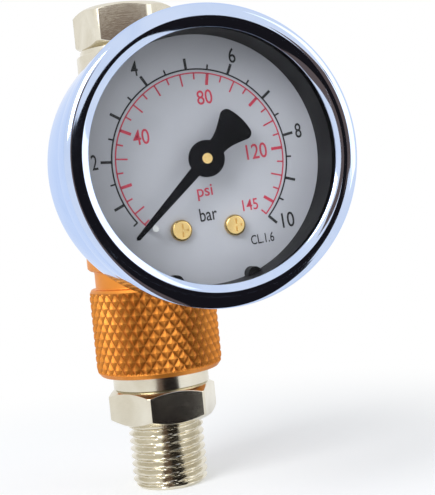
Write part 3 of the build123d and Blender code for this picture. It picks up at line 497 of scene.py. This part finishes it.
def ink_blocks(name, angles, inner, outer, width):
    """One thin block per tick: the four corners of its face at radii inner and outer, half the width to
    each side of its angle, and the same four an ink height further forward."""
    angles, inner, outer, width = np.broadcast_arrays(np.asarray(angles, float), inner, outer, width)
    along = np.stack([inner, outer, outer, inner], axis=-1)
    across = np.stack([-width, -width, width, width], axis=-1) / 2
    t = np.radians(angles)[:, None]
    x = along * np.cos(t) - across * np.sin(t)
    y = along * np.sin(t) + across * np.cos(t)
    low = np.stack([x, np.full_like(x, -DIAL_FACE), GAUGE_HEIGHT + y], axis=-1)
    high = low - np.array([0, INK_HEIGHT, 0])
    places = np.concatenate([low, high], axis=1).reshape(-1, 3)
    faces = np.array([[3, 2, 1, 0], [4, 5, 6, 7], [0, 1, 5, 4], [1, 2, 6, 5], [2, 3, 7, 6], [3, 0, 4, 7]])
    corners = (np.arange(len(angles))[:, None, None] * 8 + faces[None]).reshape(-1)
    return piece_from_faces(name, places, corners, np.full(len(corners) // 4, 4))


def ink_arc(name, radius, width, first, last):
    """A thin raised line along a circle: its rectangular section carried from the first to the last angle."""
    t = np.radians(np.linspace(first, last, 240))[:, None]
    r = radius + np.array([-1, 1, 1, -1]) * width / 2
    depth = DIAL_FACE + np.array([0, 0, 1, 1]) * INK_HEIGHT
    points = gauge_place(r[None], t, depth[None])
    ends = [points[k].mean(0)[None, None] * np.ones((1, 4, 1)) for k in (0, -1)]
    return piece_from_grid(name, np.concatenate([ends[0], points, ends[1]]), close_rows=False)


def ink_text(name, words, across, up, height, stretch=0.78, weight=0.008):
    """Printed words: the font's outline as a mesh, scaled to a height, squeezed sideways and laid on the dial."""
    curve = bpy.data.curves.new(name, "FONT")
    curve.body = words
    curve.extrude = 0.01
    curve.offset = weight
    curve.resolution_u = 6
    holder = bpy.data.objects.new(name + "_curve", curve)
    bpy.context.scene.collection.objects.link(holder)
    mesh = bpy.data.meshes.new_from_object(holder.evaluated_get(bpy.context.evaluated_depsgraph_get()))
    bpy.data.objects.remove(holder)
    co = np.zeros(len(mesh.vertices) * 3)
    mesh.vertices.foreach_get("co", co)
    co = co.reshape(-1, 3)
    low, high = co.min(0), co.max(0)
    scale = height / (high[1] - low[1])
    x = (co[:, 0] - (low[0] + high[0]) / 2) * scale * stretch
    y = (co[:, 1] - (low[1] + high[1]) / 2) * scale
    depth = DIAL_FACE + (co[:, 2] - low[2]) / (high[2] - low[2]) * INK_HEIGHT
    turn = radians(PRINT_TURN)
    u, v = across + x, up + y
    places = np.stack([u * cos(turn) - v * sin(turn), -depth, GAUGE_HEIGHT + u * sin(turn) + v * cos(turn)], axis=-1)
    mesh.vertices.foreach_set("co", (places * MM).astype(np.float32).ravel())
    mesh.name = name
    mesh.update()
    piece = bpy.data.objects.new(name, mesh)
    bpy.context.scene.collection.objects.link(piece)
    return piece


def make_print():
    """Arcs, ticks, numbers and units of both scales, as a list of black pieces and a list of red pieces."""
    bars = np.arange(0.5, 10.25, 0.5)
    whole = np.isclose(bars % 1, 0)
    black = [
        ink_arc("bar_arc", BAR_ARC_R, 0.22, scale_angle(0.5), scale_angle(10)),
        ink_blocks("bar_ticks", scale_angle(bars), BAR_ARC_R - 0.05, np.where(whole, 14.18, 13.35), np.where(whole, 0.38, 0.24)),
        ink_text("bar_2", "2", -14.9, 1.95, 2.1, 0.62),
        ink_text("bar_4", "4", -7.25, 13.75, 2.1, 0.7),
        ink_text("bar_6", "6", 6.95, 13.75, 2.1, 0.78),
        ink_text("bar_8", "8", 14.95, 1.95, 2.1, 0.72),
        ink_text("bar_10", "10", 11.25, -10.35, 2.15, 0.8),
        ink_text("bar_word", "bar", -0.3, -7.6, 1.85, 0.75),
        ink_text("class_number", "CL.1.6", 7.0, -12.3, 1.35, 0.72),
    ]
    psi = np.arange(5, 146, 5)
    thick = np.isin(psi, (20, 40, 80, 100, 120, 140))
    long = np.isclose(psi % 10, 0)
    inner = np.where(thick, 10.48, np.where(long, 10.43, 11.2))
    red = [
        ink_arc("psi_arc", PSI_ARC_R, 0.19, scale_angle(0.25), scale_angle(10)),
        ink_blocks("psi_ticks", scale_angle(psi / PSI_PER_BAR), inner, PSI_ARC_R + 0.05, np.where(thick, 0.42, 0.22)),
        ink_text("psi_40", "40", -7.9, 4.4, 2.1, 0.8),
        ink_text("psi_80", "80", 2.0, 8.55, 2.0, 0.84),
        ink_text("psi_120", "120", 8.25, 0.0, 2.15, 0.8),
        ink_text("psi_145", "145", 6.0, -7.3, 1.6, 0.82),
        ink_text("psi_word", "psi", -0.25, -4.55, 2.1, 0.95),
    ]
    return black, red


# Shader groups


def new_group(name, inputs, outputs):
    """An empty shader node group with named sockets, and its input and output nodes."""
    group = bpy.data.node_groups.new(name, "ShaderNodeTree")
    for label, kind, value in inputs:
        socket = group.interface.new_socket(label, in_out="INPUT", socket_type=kind)
        if value is not None:
            socket.default_value = value
    for label, kind in outputs:
        group.interface.new_socket(label, in_out="OUTPUT", socket_type=kind)
    return group, group.nodes.new("NodeGroupInput"), group.nodes.new("NodeGroupOutput")


def turning_marks_group():
    """Fine rings left by a lathe: noise that varies with the distance along and from the axis only."""
    group, source, out = new_group(
        "turning_marks",
        [("Vector", "NodeSocketVector", None), ("Rings per mm", "NodeSocketFloat", 6.0)],
        [("Height", "NodeSocketFloat"), ("Mask", "NodeSocketFloat")],
    )
    link = group.links.new
    split = group.nodes.new("ShaderNodeSeparateXYZ")
    radius = group.nodes.new("ShaderNodeVectorMath")
    radius.operation = "LENGTH"
    flat = group.nodes.new("ShaderNodeCombineXYZ")
    link(source.outputs["Vector"], split.inputs[0])
    link(split.outputs["X"], flat.inputs["X"])
    link(split.outputs["Y"], flat.inputs["Y"])
    link(flat.outputs[0], radius.inputs[0])
    ring = group.nodes.new("ShaderNodeCombineXYZ")
    link(radius.outputs["Value"], ring.inputs["X"])
    link(split.outputs["Z"], ring.inputs["Y"])
    scale = group.nodes.new("ShaderNodeMath")
    scale.operation = "MULTIPLY"
    scale.inputs[1].default_value = 1000.0
    link(source.outputs["Rings per mm"], scale.inputs[0])
    noise = group.nodes.new("ShaderNodeTexNoise")
    noise.inputs["Detail"].default_value = 3.0
    link(ring.outputs[0], noise.inputs["Vector"])
    link(scale.outputs[0], noise.inputs["Scale"])
    link(noise.outputs["Fac"], out.inputs["Height"])
    sharpen = group.nodes.new("ShaderNodeMapRange")
    sharpen.inputs["From Min"].default_value = 0.35
    sharpen.inputs["From Max"].default_value = 0.65
    link(noise.outputs["Fac"], sharpen.inputs["Value"])
    link(sharpen.outputs["Result"], out.inputs["Mask"])
    return group


def handling_group():
    """Smudges and small specks from handling: a soft large noise and a thresholded fine one."""
    group, source, out = new_group(
        "handling",
        [("Vector", "NodeSocketVector", None), ("Smudge size", "NodeSocketFloat", 120.0), ("Speck size", "NodeSocketFloat", 900.0)],
        [("Smudge", "NodeSocketFloat"), ("Specks", "NodeSocketFloat")],
    )
    link = group.links.new
    smudge = group.nodes.new("ShaderNodeTexNoise")
    smudge.inputs["Detail"].default_value = 4.0
    smudge.inputs["Distortion"].default_value = 0.6
    link(source.outputs["Vector"], smudge.inputs["Vector"])
    link(source.outputs["Smudge size"], smudge.inputs["Scale"])
    link(smudge.outputs["Fac"], out.inputs["Smudge"])
    speck = group.nodes.new("ShaderNodeTexNoise")
    speck.inputs["Detail"].default_value = 6.0
    speck.inputs["Roughness"].default_value = 0.7
    link(source.outputs["Vector"], speck.inputs["Vector"])
    link(source.outputs["Speck size"], speck.inputs["Scale"])
    cut = group.nodes.new("ShaderNodeMapRange")
    cut.inputs["From Min"].default_value = 0.64
    cut.inputs["From Max"].default_value = 0.72
    link(speck.outputs["Fac"], cut.inputs["Value"])
    link(cut.outputs["Result"], out.inputs["Specks"])
    return group


turning_marks = turning_marks_group()
handling = handling_group()


def add_group(tree, group, vector, values):
    """Places a group in a material with its own values."""
    node = tree.nodes.new("ShaderNodeGroup")
    node.node_tree = group
    tree.links.new(vector, node.inputs["Vector"])
    for label, value in values.items():
        node.inputs[label].default_value = value
    return node


def finish_material(name, colour, dark, roughness, rough_range, metallic, axis="flow", rings=6.0, ring_bump=0.0,
                    smudge=140.0, speck=900.0, speck_amount=0.0, grain_bump=0.0, specular=0.5,
                    edge_tint=(1, 1, 1), painted_groove_shade=0.0):
    """A machined, plated, painted or moulded finish.

    Base colour runs between two tones with the smudge noise, specks darken it, roughness follows the
    smudges and rings, and bump comes from the rings and the grain."""
    material = bpy.data.materials.new(name)
    material.use_nodes = True
    tree = material.node_tree
    link = tree.links.new
    shader = tree.nodes["Principled BSDF"]
    shader.inputs["Metallic"].default_value = metallic
    shader.inputs["Specular IOR Level"].default_value = specular
    shader.inputs["Specular Tint"].default_value = (*edge_tint, 1)
    place = tree.nodes.new("ShaderNodeTexCoord")
    turn = tree.nodes.new("ShaderNodeMapping")
    if axis == "gauge":
        turn.inputs["Location"].default_value = (0, -GAUGE_HEIGHT * MM, 0)
        turn.inputs["Rotation"].default_value = (radians(-90), 0, 0)
    link(place.outputs["Object"], turn.inputs["Vector"])
    vector = turn.outputs["Vector"]
    marks = add_group(tree, turning_marks, vector, {"Rings per mm": rings})
    dirt = add_group(tree, handling, vector, {"Smudge size": smudge, "Speck size": speck})
    tone = tree.nodes.new("ShaderNodeMix")
    tone.data_type = "RGBA"
    tone.inputs["A"].default_value = (*dark, 1)
    tone.inputs["B"].default_value = (*colour, 1)
    spread = tree.nodes.new("ShaderNodeMapRange")
    spread.inputs["From Min"].default_value = 0.3
    spread.inputs["From Max"].default_value = 0.62
    link(dirt.outputs["Smudge"], spread.inputs["Value"])
    link(spread.outputs["Result"], tone.inputs["Factor"])
    specks = tree.nodes.new("ShaderNodeMix")
    specks.data_type = "RGBA"
    specks.inputs["B"].default_value = (*(c * 0.45 for c in dark), 1)
    amount = tree.nodes.new("ShaderNodeMath")
    amount.operation = "MULTIPLY"
    amount.inputs[1].default_value = speck_amount
    link(dirt.outputs["Specks"], amount.inputs[0])
    link(amount.outputs[0], specks.inputs["Factor"])
    link(tone.outputs["Result"], specks.inputs["A"])
    # Painted shade: the base colour darkens towards half the dark tone in the knurl's grooves, scaled by the groove
    # depth and the finish's groove value.
    groove_shade_mix = tree.nodes.new("ShaderNodeMix")
    groove_shade_mix.data_type = "RGBA"
    groove_shade_mix.inputs["B"].default_value = (*(c * 0.5 for c in dark), 1)
    groove = tree.nodes.new("ShaderNodeAttribute")
    groove.attribute_name = "groove_depth"
    groove_shade_amount = tree.nodes.new("ShaderNodeMath")
    groove_shade_amount.operation = "MULTIPLY"
    groove_shade_amount.inputs[1].default_value = painted_groove_shade
    link(groove.outputs["Fac"], groove_shade_amount.inputs[0])
    link(groove_shade_amount.outputs[0], groove_shade_mix.inputs["Factor"])
    link(specks.outputs["Result"], groove_shade_mix.inputs["A"])
    link(groove_shade_mix.outputs["Result"], shader.inputs["Base Color"])
    mixed = tree.nodes.new("ShaderNodeMath")
    mixed.operation = "MULTIPLY_ADD"
    mixed.inputs[1].default_value = 0.5
    link(marks.outputs["Mask"], mixed.inputs[0])
    half = tree.nodes.new("ShaderNodeMath")
    half.operation = "MULTIPLY"
    half.inputs[1].default_value = 0.5
    link(spread.outputs["Result"], half.inputs[0])
    link(half.outputs[0], mixed.inputs[2])
    rough = tree.nodes.new("ShaderNodeMapRange")
    rough.inputs["To Min"].default_value = roughness + rough_range
    rough.inputs["To Max"].default_value = roughness - rough_range
    link(mixed.outputs[0], rough.inputs["Value"])
    link(rough.outputs["Result"], shader.inputs["Roughness"])
    ring_relief = tree.nodes.new("ShaderNodeBump")
    ring_relief.inputs["Strength"].default_value = ring_bump
    ring_relief.inputs["Distance"].default_value = 0.02 * MM
    link(marks.outputs["Height"], ring_relief.inputs["Height"])
    grain_relief = tree.nodes.new("ShaderNodeBump")
    grain_relief.inputs["Strength"].default_value = grain_bump
    grain_relief.inputs["Distance"].default_value = 0.02 * MM
    link(dirt.outputs["Specks"], grain_relief.inputs["Height"])
    link(ring_relief.outputs["Normal"], grain_relief.inputs["Normal"])
    link(grain_relief.outputs["Normal"], shader.inputs["Normal"])
    return material


def window_material():
    """Clear acrylic. Light passes it straight to the dial, as through thin clear sheet."""
    material = bpy.data.materials.new("clear_window")
    material.use_nodes = True
    tree = material.node_tree
    shader = tree.nodes["Principled BSDF"]
    shader.inputs["Base Color"].default_value = (0.97, 0.985, 0.99, 1)
    shader.inputs["Transmission Weight"].default_value = 1.0
    shader.inputs["IOR"].default_value = 1.12
    shader.inputs["Roughness"].default_value = 0.0
    place = tree.nodes.new("ShaderNodeTexCoord")
    dust = add_group(tree, handling, place.outputs["Object"], {"Smudge size": 90.0, "Speck size": 500.0})
    rough = tree.nodes.new("ShaderNodeMapRange")
    rough.inputs["To Min"].default_value = 0.0
    rough.inputs["To Max"].default_value = 0.03
    tree.links.new(dust.outputs["Smudge"], rough.inputs["Value"])
    tree.links.new(rough.outputs["Result"], shader.inputs["Roughness"])
    clear = tree.nodes.new("ShaderNodeBsdfTransparent")
    path = tree.nodes.new("ShaderNodeLightPath")
    mix = tree.nodes.new("ShaderNodeMixShader")
    tree.links.new(path.outputs["Is Shadow Ray"], mix.inputs["Fac"])
    tree.links.new(shader.outputs["BSDF"], mix.inputs[1])
    tree.links.new(clear.outputs["BSDF"], mix.inputs[2])
    tree.links.new(mix.outputs["Shader"], tree.nodes["Material Output"].inputs["Surface"])
    return material


finishes = {
    "nickel_plate": dict(colour=(0.78, 0.74, 0.63), dark=(0.64, 0.59, 0.47), roughness=0.2, rough_range=0.07, metallic=1.0, rings=5.0, ring_bump=0.25, speck_amount=0.25),
    # The anodised finish darkens its knurl grooves with painted shade.
    "gold_anodised": dict(colour=(0.80, 0.30, 0.045), dark=(0.70, 0.24, 0.03), roughness=0.46, rough_range=0.06, metallic=0.75, rings=8.0, ring_bump=0.15, speck_amount=0.15, painted_groove_shade=0.9),
    # Chrome's base colour and edge tint are strongly blue: partly the plating's own cool tint, partly a painted
    # reflection of a pale blue surround.
    "chrome_plate": dict(colour=(0.60, 0.70, 0.91), dark=(0.54, 0.65, 0.88), edge_tint=(0.72, 0.82, 1.0), roughness=0.07, rough_range=0.03, metallic=1.0, rings=3.0, ring_bump=0.02, speck_amount=0.08),
    "brass": dict(colour=(0.86, 0.62, 0.27), dark=(0.62, 0.42, 0.16), roughness=0.25, rough_range=0.08, metallic=1.0, ring_bump=0.2, speck_amount=0.3),
    "bronze": dict(colour=(0.70, 0.45, 0.25), dark=(0.50, 0.30, 0.16), roughness=0.3, rough_range=0.08, metallic=1.0, ring_bump=0.1, speck_amount=0.4),
    "steel": dict(colour=(0.66, 0.67, 0.68), dark=(0.52, 0.53, 0.55), roughness=0.28, rough_range=0.07, metallic=1.0, ring_bump=0.2, speck_amount=0.2),
    "spring_steel": dict(colour=(0.50, 0.51, 0.53), dark=(0.36, 0.37, 0.40), roughness=0.32, rough_range=0.08, metallic=1.0, ring_bump=0.1, speck_amount=0.3),
    # The dial is white paint; its base colour is set grey as painted shade, for the dim light that falls on the dial.
    "white_dial": dict(colour=(0.46, 0.47, 0.52), dark=(0.43, 0.44, 0.49), roughness=0.55, rough_range=0.05, metallic=0.0, speck_amount=0.04, grain_bump=0.05),
    "black_paint": dict(colour=(0.005, 0.005, 0.007), dark=(0.003, 0.003, 0.004), roughness=0.6, rough_range=0.08, metallic=0.0, grain_bump=0.1, specular=0.08),
    "black_plastic": dict(colour=(0.006, 0.006, 0.007), dark=(0.003, 0.003, 0.004), roughness=0.5, rough_range=0.08, metallic=0.0, grain_bump=0.1, specular=0.2),
    "rubber": dict(colour=(0.03, 0.03, 0.03), dark=(0.018, 0.018, 0.018), roughness=0.75, rough_range=0.08, metallic=0.0, grain_bump=0.3),
    "seat_plastic": dict(colour=(0.80, 0.78, 0.70), dark=(0.72, 0.69, 0.60), roughness=0.5, rough_range=0.06, metallic=0.0, grain_bump=0.1),
    "seal_plastic": dict(colour=(0.86, 0.86, 0.84), dark=(0.78, 0.78, 0.76), roughness=0.45, rough_range=0.06, metallic=0.0, grain_bump=0.1),
}
gauge_nodes = {
    "port_seal", "gauge_socket", "restrictor_screw", "gauge_case", "case_screws", "bezel_ring", "window",
    "window_gasket", "dial_spacer", "dial_plate", "dial_screws", "stop_pin", "pointer", "pointer_boss",
    "pinion_shaft", "sector_gear", "sector_arbor", "link", "link_pins", "bourdon_tube", "tube_tip",
    "movement_back_plate", "movement_front_plate", "movement_pillars", "movement_screws", "hairspring",
}
materials = {"clear_window": window_material()}
for slot, values in finishes.items():
    for axis in ("flow", "gauge"):
        materials[slot, axis] = finish_material(f"{slot}_{axis}", axis=axis, **values)
black_ink = finish_material("black_ink", (0.012, 0.012, 0.016), (0.02, 0.02, 0.024), 0.6, 0.05, 0.0)
red_ink = finish_material("red_ink", (0.52, 0.035, 0.075), (0.58, 0.06, 0.10), 0.6, 0.05, 0.0)


def dress(piece, slot, axis):
    """Gives a piece the material of its slot."""
    key = slot if slot == "clear_window" else (slot, axis)
    piece.data.materials.clear()
    piece.data.materials.append(materials[key])


slot_of = {part["node"]: part["material_slot"] for part in frame["record"]["subparts"]}
for name, node in nodes.items():
    dress(node, slot_of[name], "gauge" if name in gauge_nodes else "flow")
    node.data.shade_smooth()
    weld = node.modifiers.new("weld", "WELD")
    weld.merge_threshold = 1e-6
    split = node.modifiers.new("split", "EDGE_SPLIT")
    split.split_angle = radians(28)

replacements = [
    (make_inlet_fitting(), "inlet_fitting", "root"),
    (make_regulator_body(), "regulator_body", "root"),
    (make_adjusting_sleeve(), "adjusting_sleeve", "sleeve"),
    (make_main_spring(), "main_spring", "carrier"),
    (make_gauge_case(), "gauge_case", "root"),
    (make_bezel_ring(), "bezel_ring", "root"),
    (make_window(), "window", "root"),
    (make_dial(), "dial_plate", "root"),
]
for piece, node, body in replacements:
    dress(piece, slot_of[node], "gauge" if node in gauge_nodes else "flow")
    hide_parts(node)
    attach(piece, body)

boss = make_gauge_boss()
dress(boss, "nickel_plate", "gauge")
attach(boss, "root")
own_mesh(replacements[3][0])

black_print, red_print = make_print()
for pieces, ink in ((black_print, black_ink), (red_print, red_ink)):
    for piece in pieces:
        piece.data.materials.clear()
        piece.data.materials.append(ink)
        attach(piece, "root")


# Stage, light and camera


def stage_sheet(name, corners, colour, strength):
    """A flat sheet of the stage through four corners, in millimetres, that shines evenly."""
    mesh = bpy.data.meshes.new(name)
    mesh.from_pydata([Vector(c) * MM for c in corners], [], [(0, 1, 2, 3)])
    sheet = bpy.data.objects.new(name, mesh)
    bpy.context.scene.collection.objects.link(sheet)
    material = bpy.data.materials.new(name)
    material.use_nodes = True
    tree = material.node_tree
    tree.nodes.remove(tree.nodes["Principled BSDF"])
    shine = tree.nodes.new("ShaderNodeEmission")
    shine.inputs["Color"].default_value = (*colour, 1)
    shine.inputs["Strength"].default_value = strength
    tree.links.new(shine.outputs[0], tree.nodes["Material Output"].inputs["Surface"])
    mesh.materials.append(material)
    return sheet


def mirror_card(name, corners, colour):
    """A card that only reflections see: the dark and grey areas round a photographer."""
    card = stage_sheet(name, corners, colour, 1.0)
    card.visible_camera = False
    card.visible_diffuse = False
    card.visible_transmission = False
    card.visible_shadow = False
    return card


def make_floor(height):
    """A wide pale floor that keeps the shadow under the piece and fades to the white surround."""
    size = 3000
    floor = stage_sheet("floor", [(-size, -size, height), (size, -size, height), (size, size, height), (-size, size, height)], (1, 1, 1), 1.0)
    tree = floor.data.materials[0].node_tree
    tree.nodes.remove(tree.nodes["Emission"])
    paint = tree.nodes.new("ShaderNodeBsdfDiffuse")
    paint.inputs["Color"].default_value = (0.86, 0.87, 0.88, 1)
    lift = tree.nodes.new("ShaderNodeEmission")
    lift.inputs["Strength"].default_value = 0.3
    both = tree.nodes.new("ShaderNodeAddShader")
    white = tree.nodes.new("ShaderNodeEmission")
    place = tree.nodes.new("ShaderNodeTexCoord")
    distance = tree.nodes.new("ShaderNodeVectorMath")
    distance.operation = "LENGTH"
    fade = tree.nodes.new("ShaderNodeMapRange")
    fade.interpolation_type = "SMOOTHSTEP"
    fade.inputs["From Min"].default_value = 0.03
    fade.inputs["From Max"].default_value = 0.12
    path = tree.nodes.new("ShaderNodeLightPath")
    direct = tree.nodes.new("ShaderNodeMath")
    direct.operation = "MAXIMUM"
    far = tree.nodes.new("ShaderNodeMixShader")
    seen = tree.nodes.new("ShaderNodeMixShader")
    link = tree.links.new
    link(paint.outputs[0], both.inputs[0])
    link(lift.outputs[0], both.inputs[1])
    link(place.outputs["Object"], distance.inputs[0])
    link(distance.outputs["Value"], fade.inputs["Value"])
    link(fade.outputs["Result"], far.inputs["Fac"])
    link(both.outputs[0], far.inputs[1])
    link(white.outputs[0], far.inputs[2])
    link(path.outputs["Is Camera Ray"], direct.inputs[0])
    link(path.outputs["Is Glossy Ray"], direct.inputs[1])
    link(direct.outputs[0], seen.inputs["Fac"])
    link(paint.outputs[0], seen.inputs[1])
    link(far.outputs[0], seen.inputs[2])
    link(seen.outputs[0], tree.nodes["Material Output"].inputs["Surface"])


def make_world():
    """A white surround: full white where it is seen directly, mirrored or through glass, and softer as light."""
    world = bpy.data.worlds.new("surround")
    bpy.context.scene.world = world
    world.use_nodes = True
    tree = world.node_tree
    lit = tree.nodes["Background"]
    lit.inputs["Color"].default_value = (0.93, 0.96, 1.0, 1)
    lit.inputs["Strength"].default_value = 0.5
    seen = tree.nodes.new("ShaderNodeBackground")
    seen.inputs["Color"].default_value = (1, 1, 1, 1)
    seen.inputs["Strength"].default_value = 1.0
    path = tree.nodes.new("ShaderNodeLightPath")
    first = tree.nodes.new("ShaderNodeMath")
    first.operation = "MAXIMUM"
    second = tree.nodes.new("ShaderNodeMath")
    second.operation = "MAXIMUM"
    mix = tree.nodes.new("ShaderNodeMixShader")
    link = tree.links.new
    link(path.outputs["Is Camera Ray"], first.inputs[0])
    link(path.outputs["Is Glossy Ray"], first.inputs[1])
    link(first.outputs[0], second.inputs[0])
    link(path.outputs["Is Transmission Ray"], second.inputs[1])
    link(second.outputs[0], mix.inputs["Fac"])
    link(lit.outputs[0], mix.inputs[1])
    link(seen.outputs[0], mix.inputs[2])
    link(mix.outputs[0], tree.nodes["World Output"].inputs["Surface"])


def area_light(name, place, target, size, watts, colour=(1, 1, 1)):
    """A square soft light at a place, aimed at a target, in millimetres."""
    light = bpy.data.lights.new(name, "AREA")
    light.shape = "SQUARE"
    light.size = size * MM
    light.energy = watts
    light.color = colour
    holder = bpy.data.objects.new(name, light)
    bpy.context.scene.collection.objects.link(holder)
    holder.location = Vector(place) * MM
    holder.rotation_euler = (Vector(target) - Vector(place)).to_track_quat("-Z", "Y").to_euler()


def make_camera():
    """The photograph's camera, from its fitted place, direction and focal length in pixels."""
    data = bpy.data.cameras.new("camera")
    data.sensor_width = SENSOR
    data.lens = FOCAL_PIXELS * SENSOR / IMAGE_HEIGHT
    data.clip_start = 0.01
    camera = bpy.data.objects.new("camera", data)
    bpy.context.scene.collection.objects.link(camera)
    forward = Vector(CAMERA_FORWARD).normalized()
    right = forward.cross(Vector(CAMERA_UP)).normalized()
    up = right.cross(forward)
    camera.matrix_world = Matrix.Translation(Vector(CAMERA_PLACE) * MM) @ Matrix((right, up, -forward)).transposed().to_4x4()
    bpy.context.scene.camera = camera


bpy.context.scene.view_settings.view_transform = "Standard"
make_floor(INLET_END)
make_world()
dark_room = (0.012, 0.010, 0.011)
brown_room = (0.16, 0.11, 0.09)
mirror_card("dark_wall", [(-60, -300, -11), (150, -300, -11), (150, -300, 90), (-60, -300, 90)], dark_room)
mirror_card("brown_wall", [(-140, -302, -11), (-60, -302, -11), (-60, -302, 200), (-140, -302, 200)], brown_room)
mirror_card("brown_panel", [(110, -290, 40), (190, -290, 40), (190, -290, 120), (110, -290, 120)], brown_room)
mirror_card("dark_ground", [(-1, -7, -11.2), (4, -7, -11.2), (150, -300, -11.2), (-60, -300, -11.2)], dark_room)
mirror_card("brown_ground", [(-5, -7, -11.3), (-1, -7, -11.3), (-60, -300, -11.3), (-140, -300, -11.3)], brown_room)
area_light("key", (-300, -240, 280), (0, -10, 30), 260, 1.2)
area_light("fill", (320, -220, 160), (0, -10, 30), 320, 0.25)
make_camera()
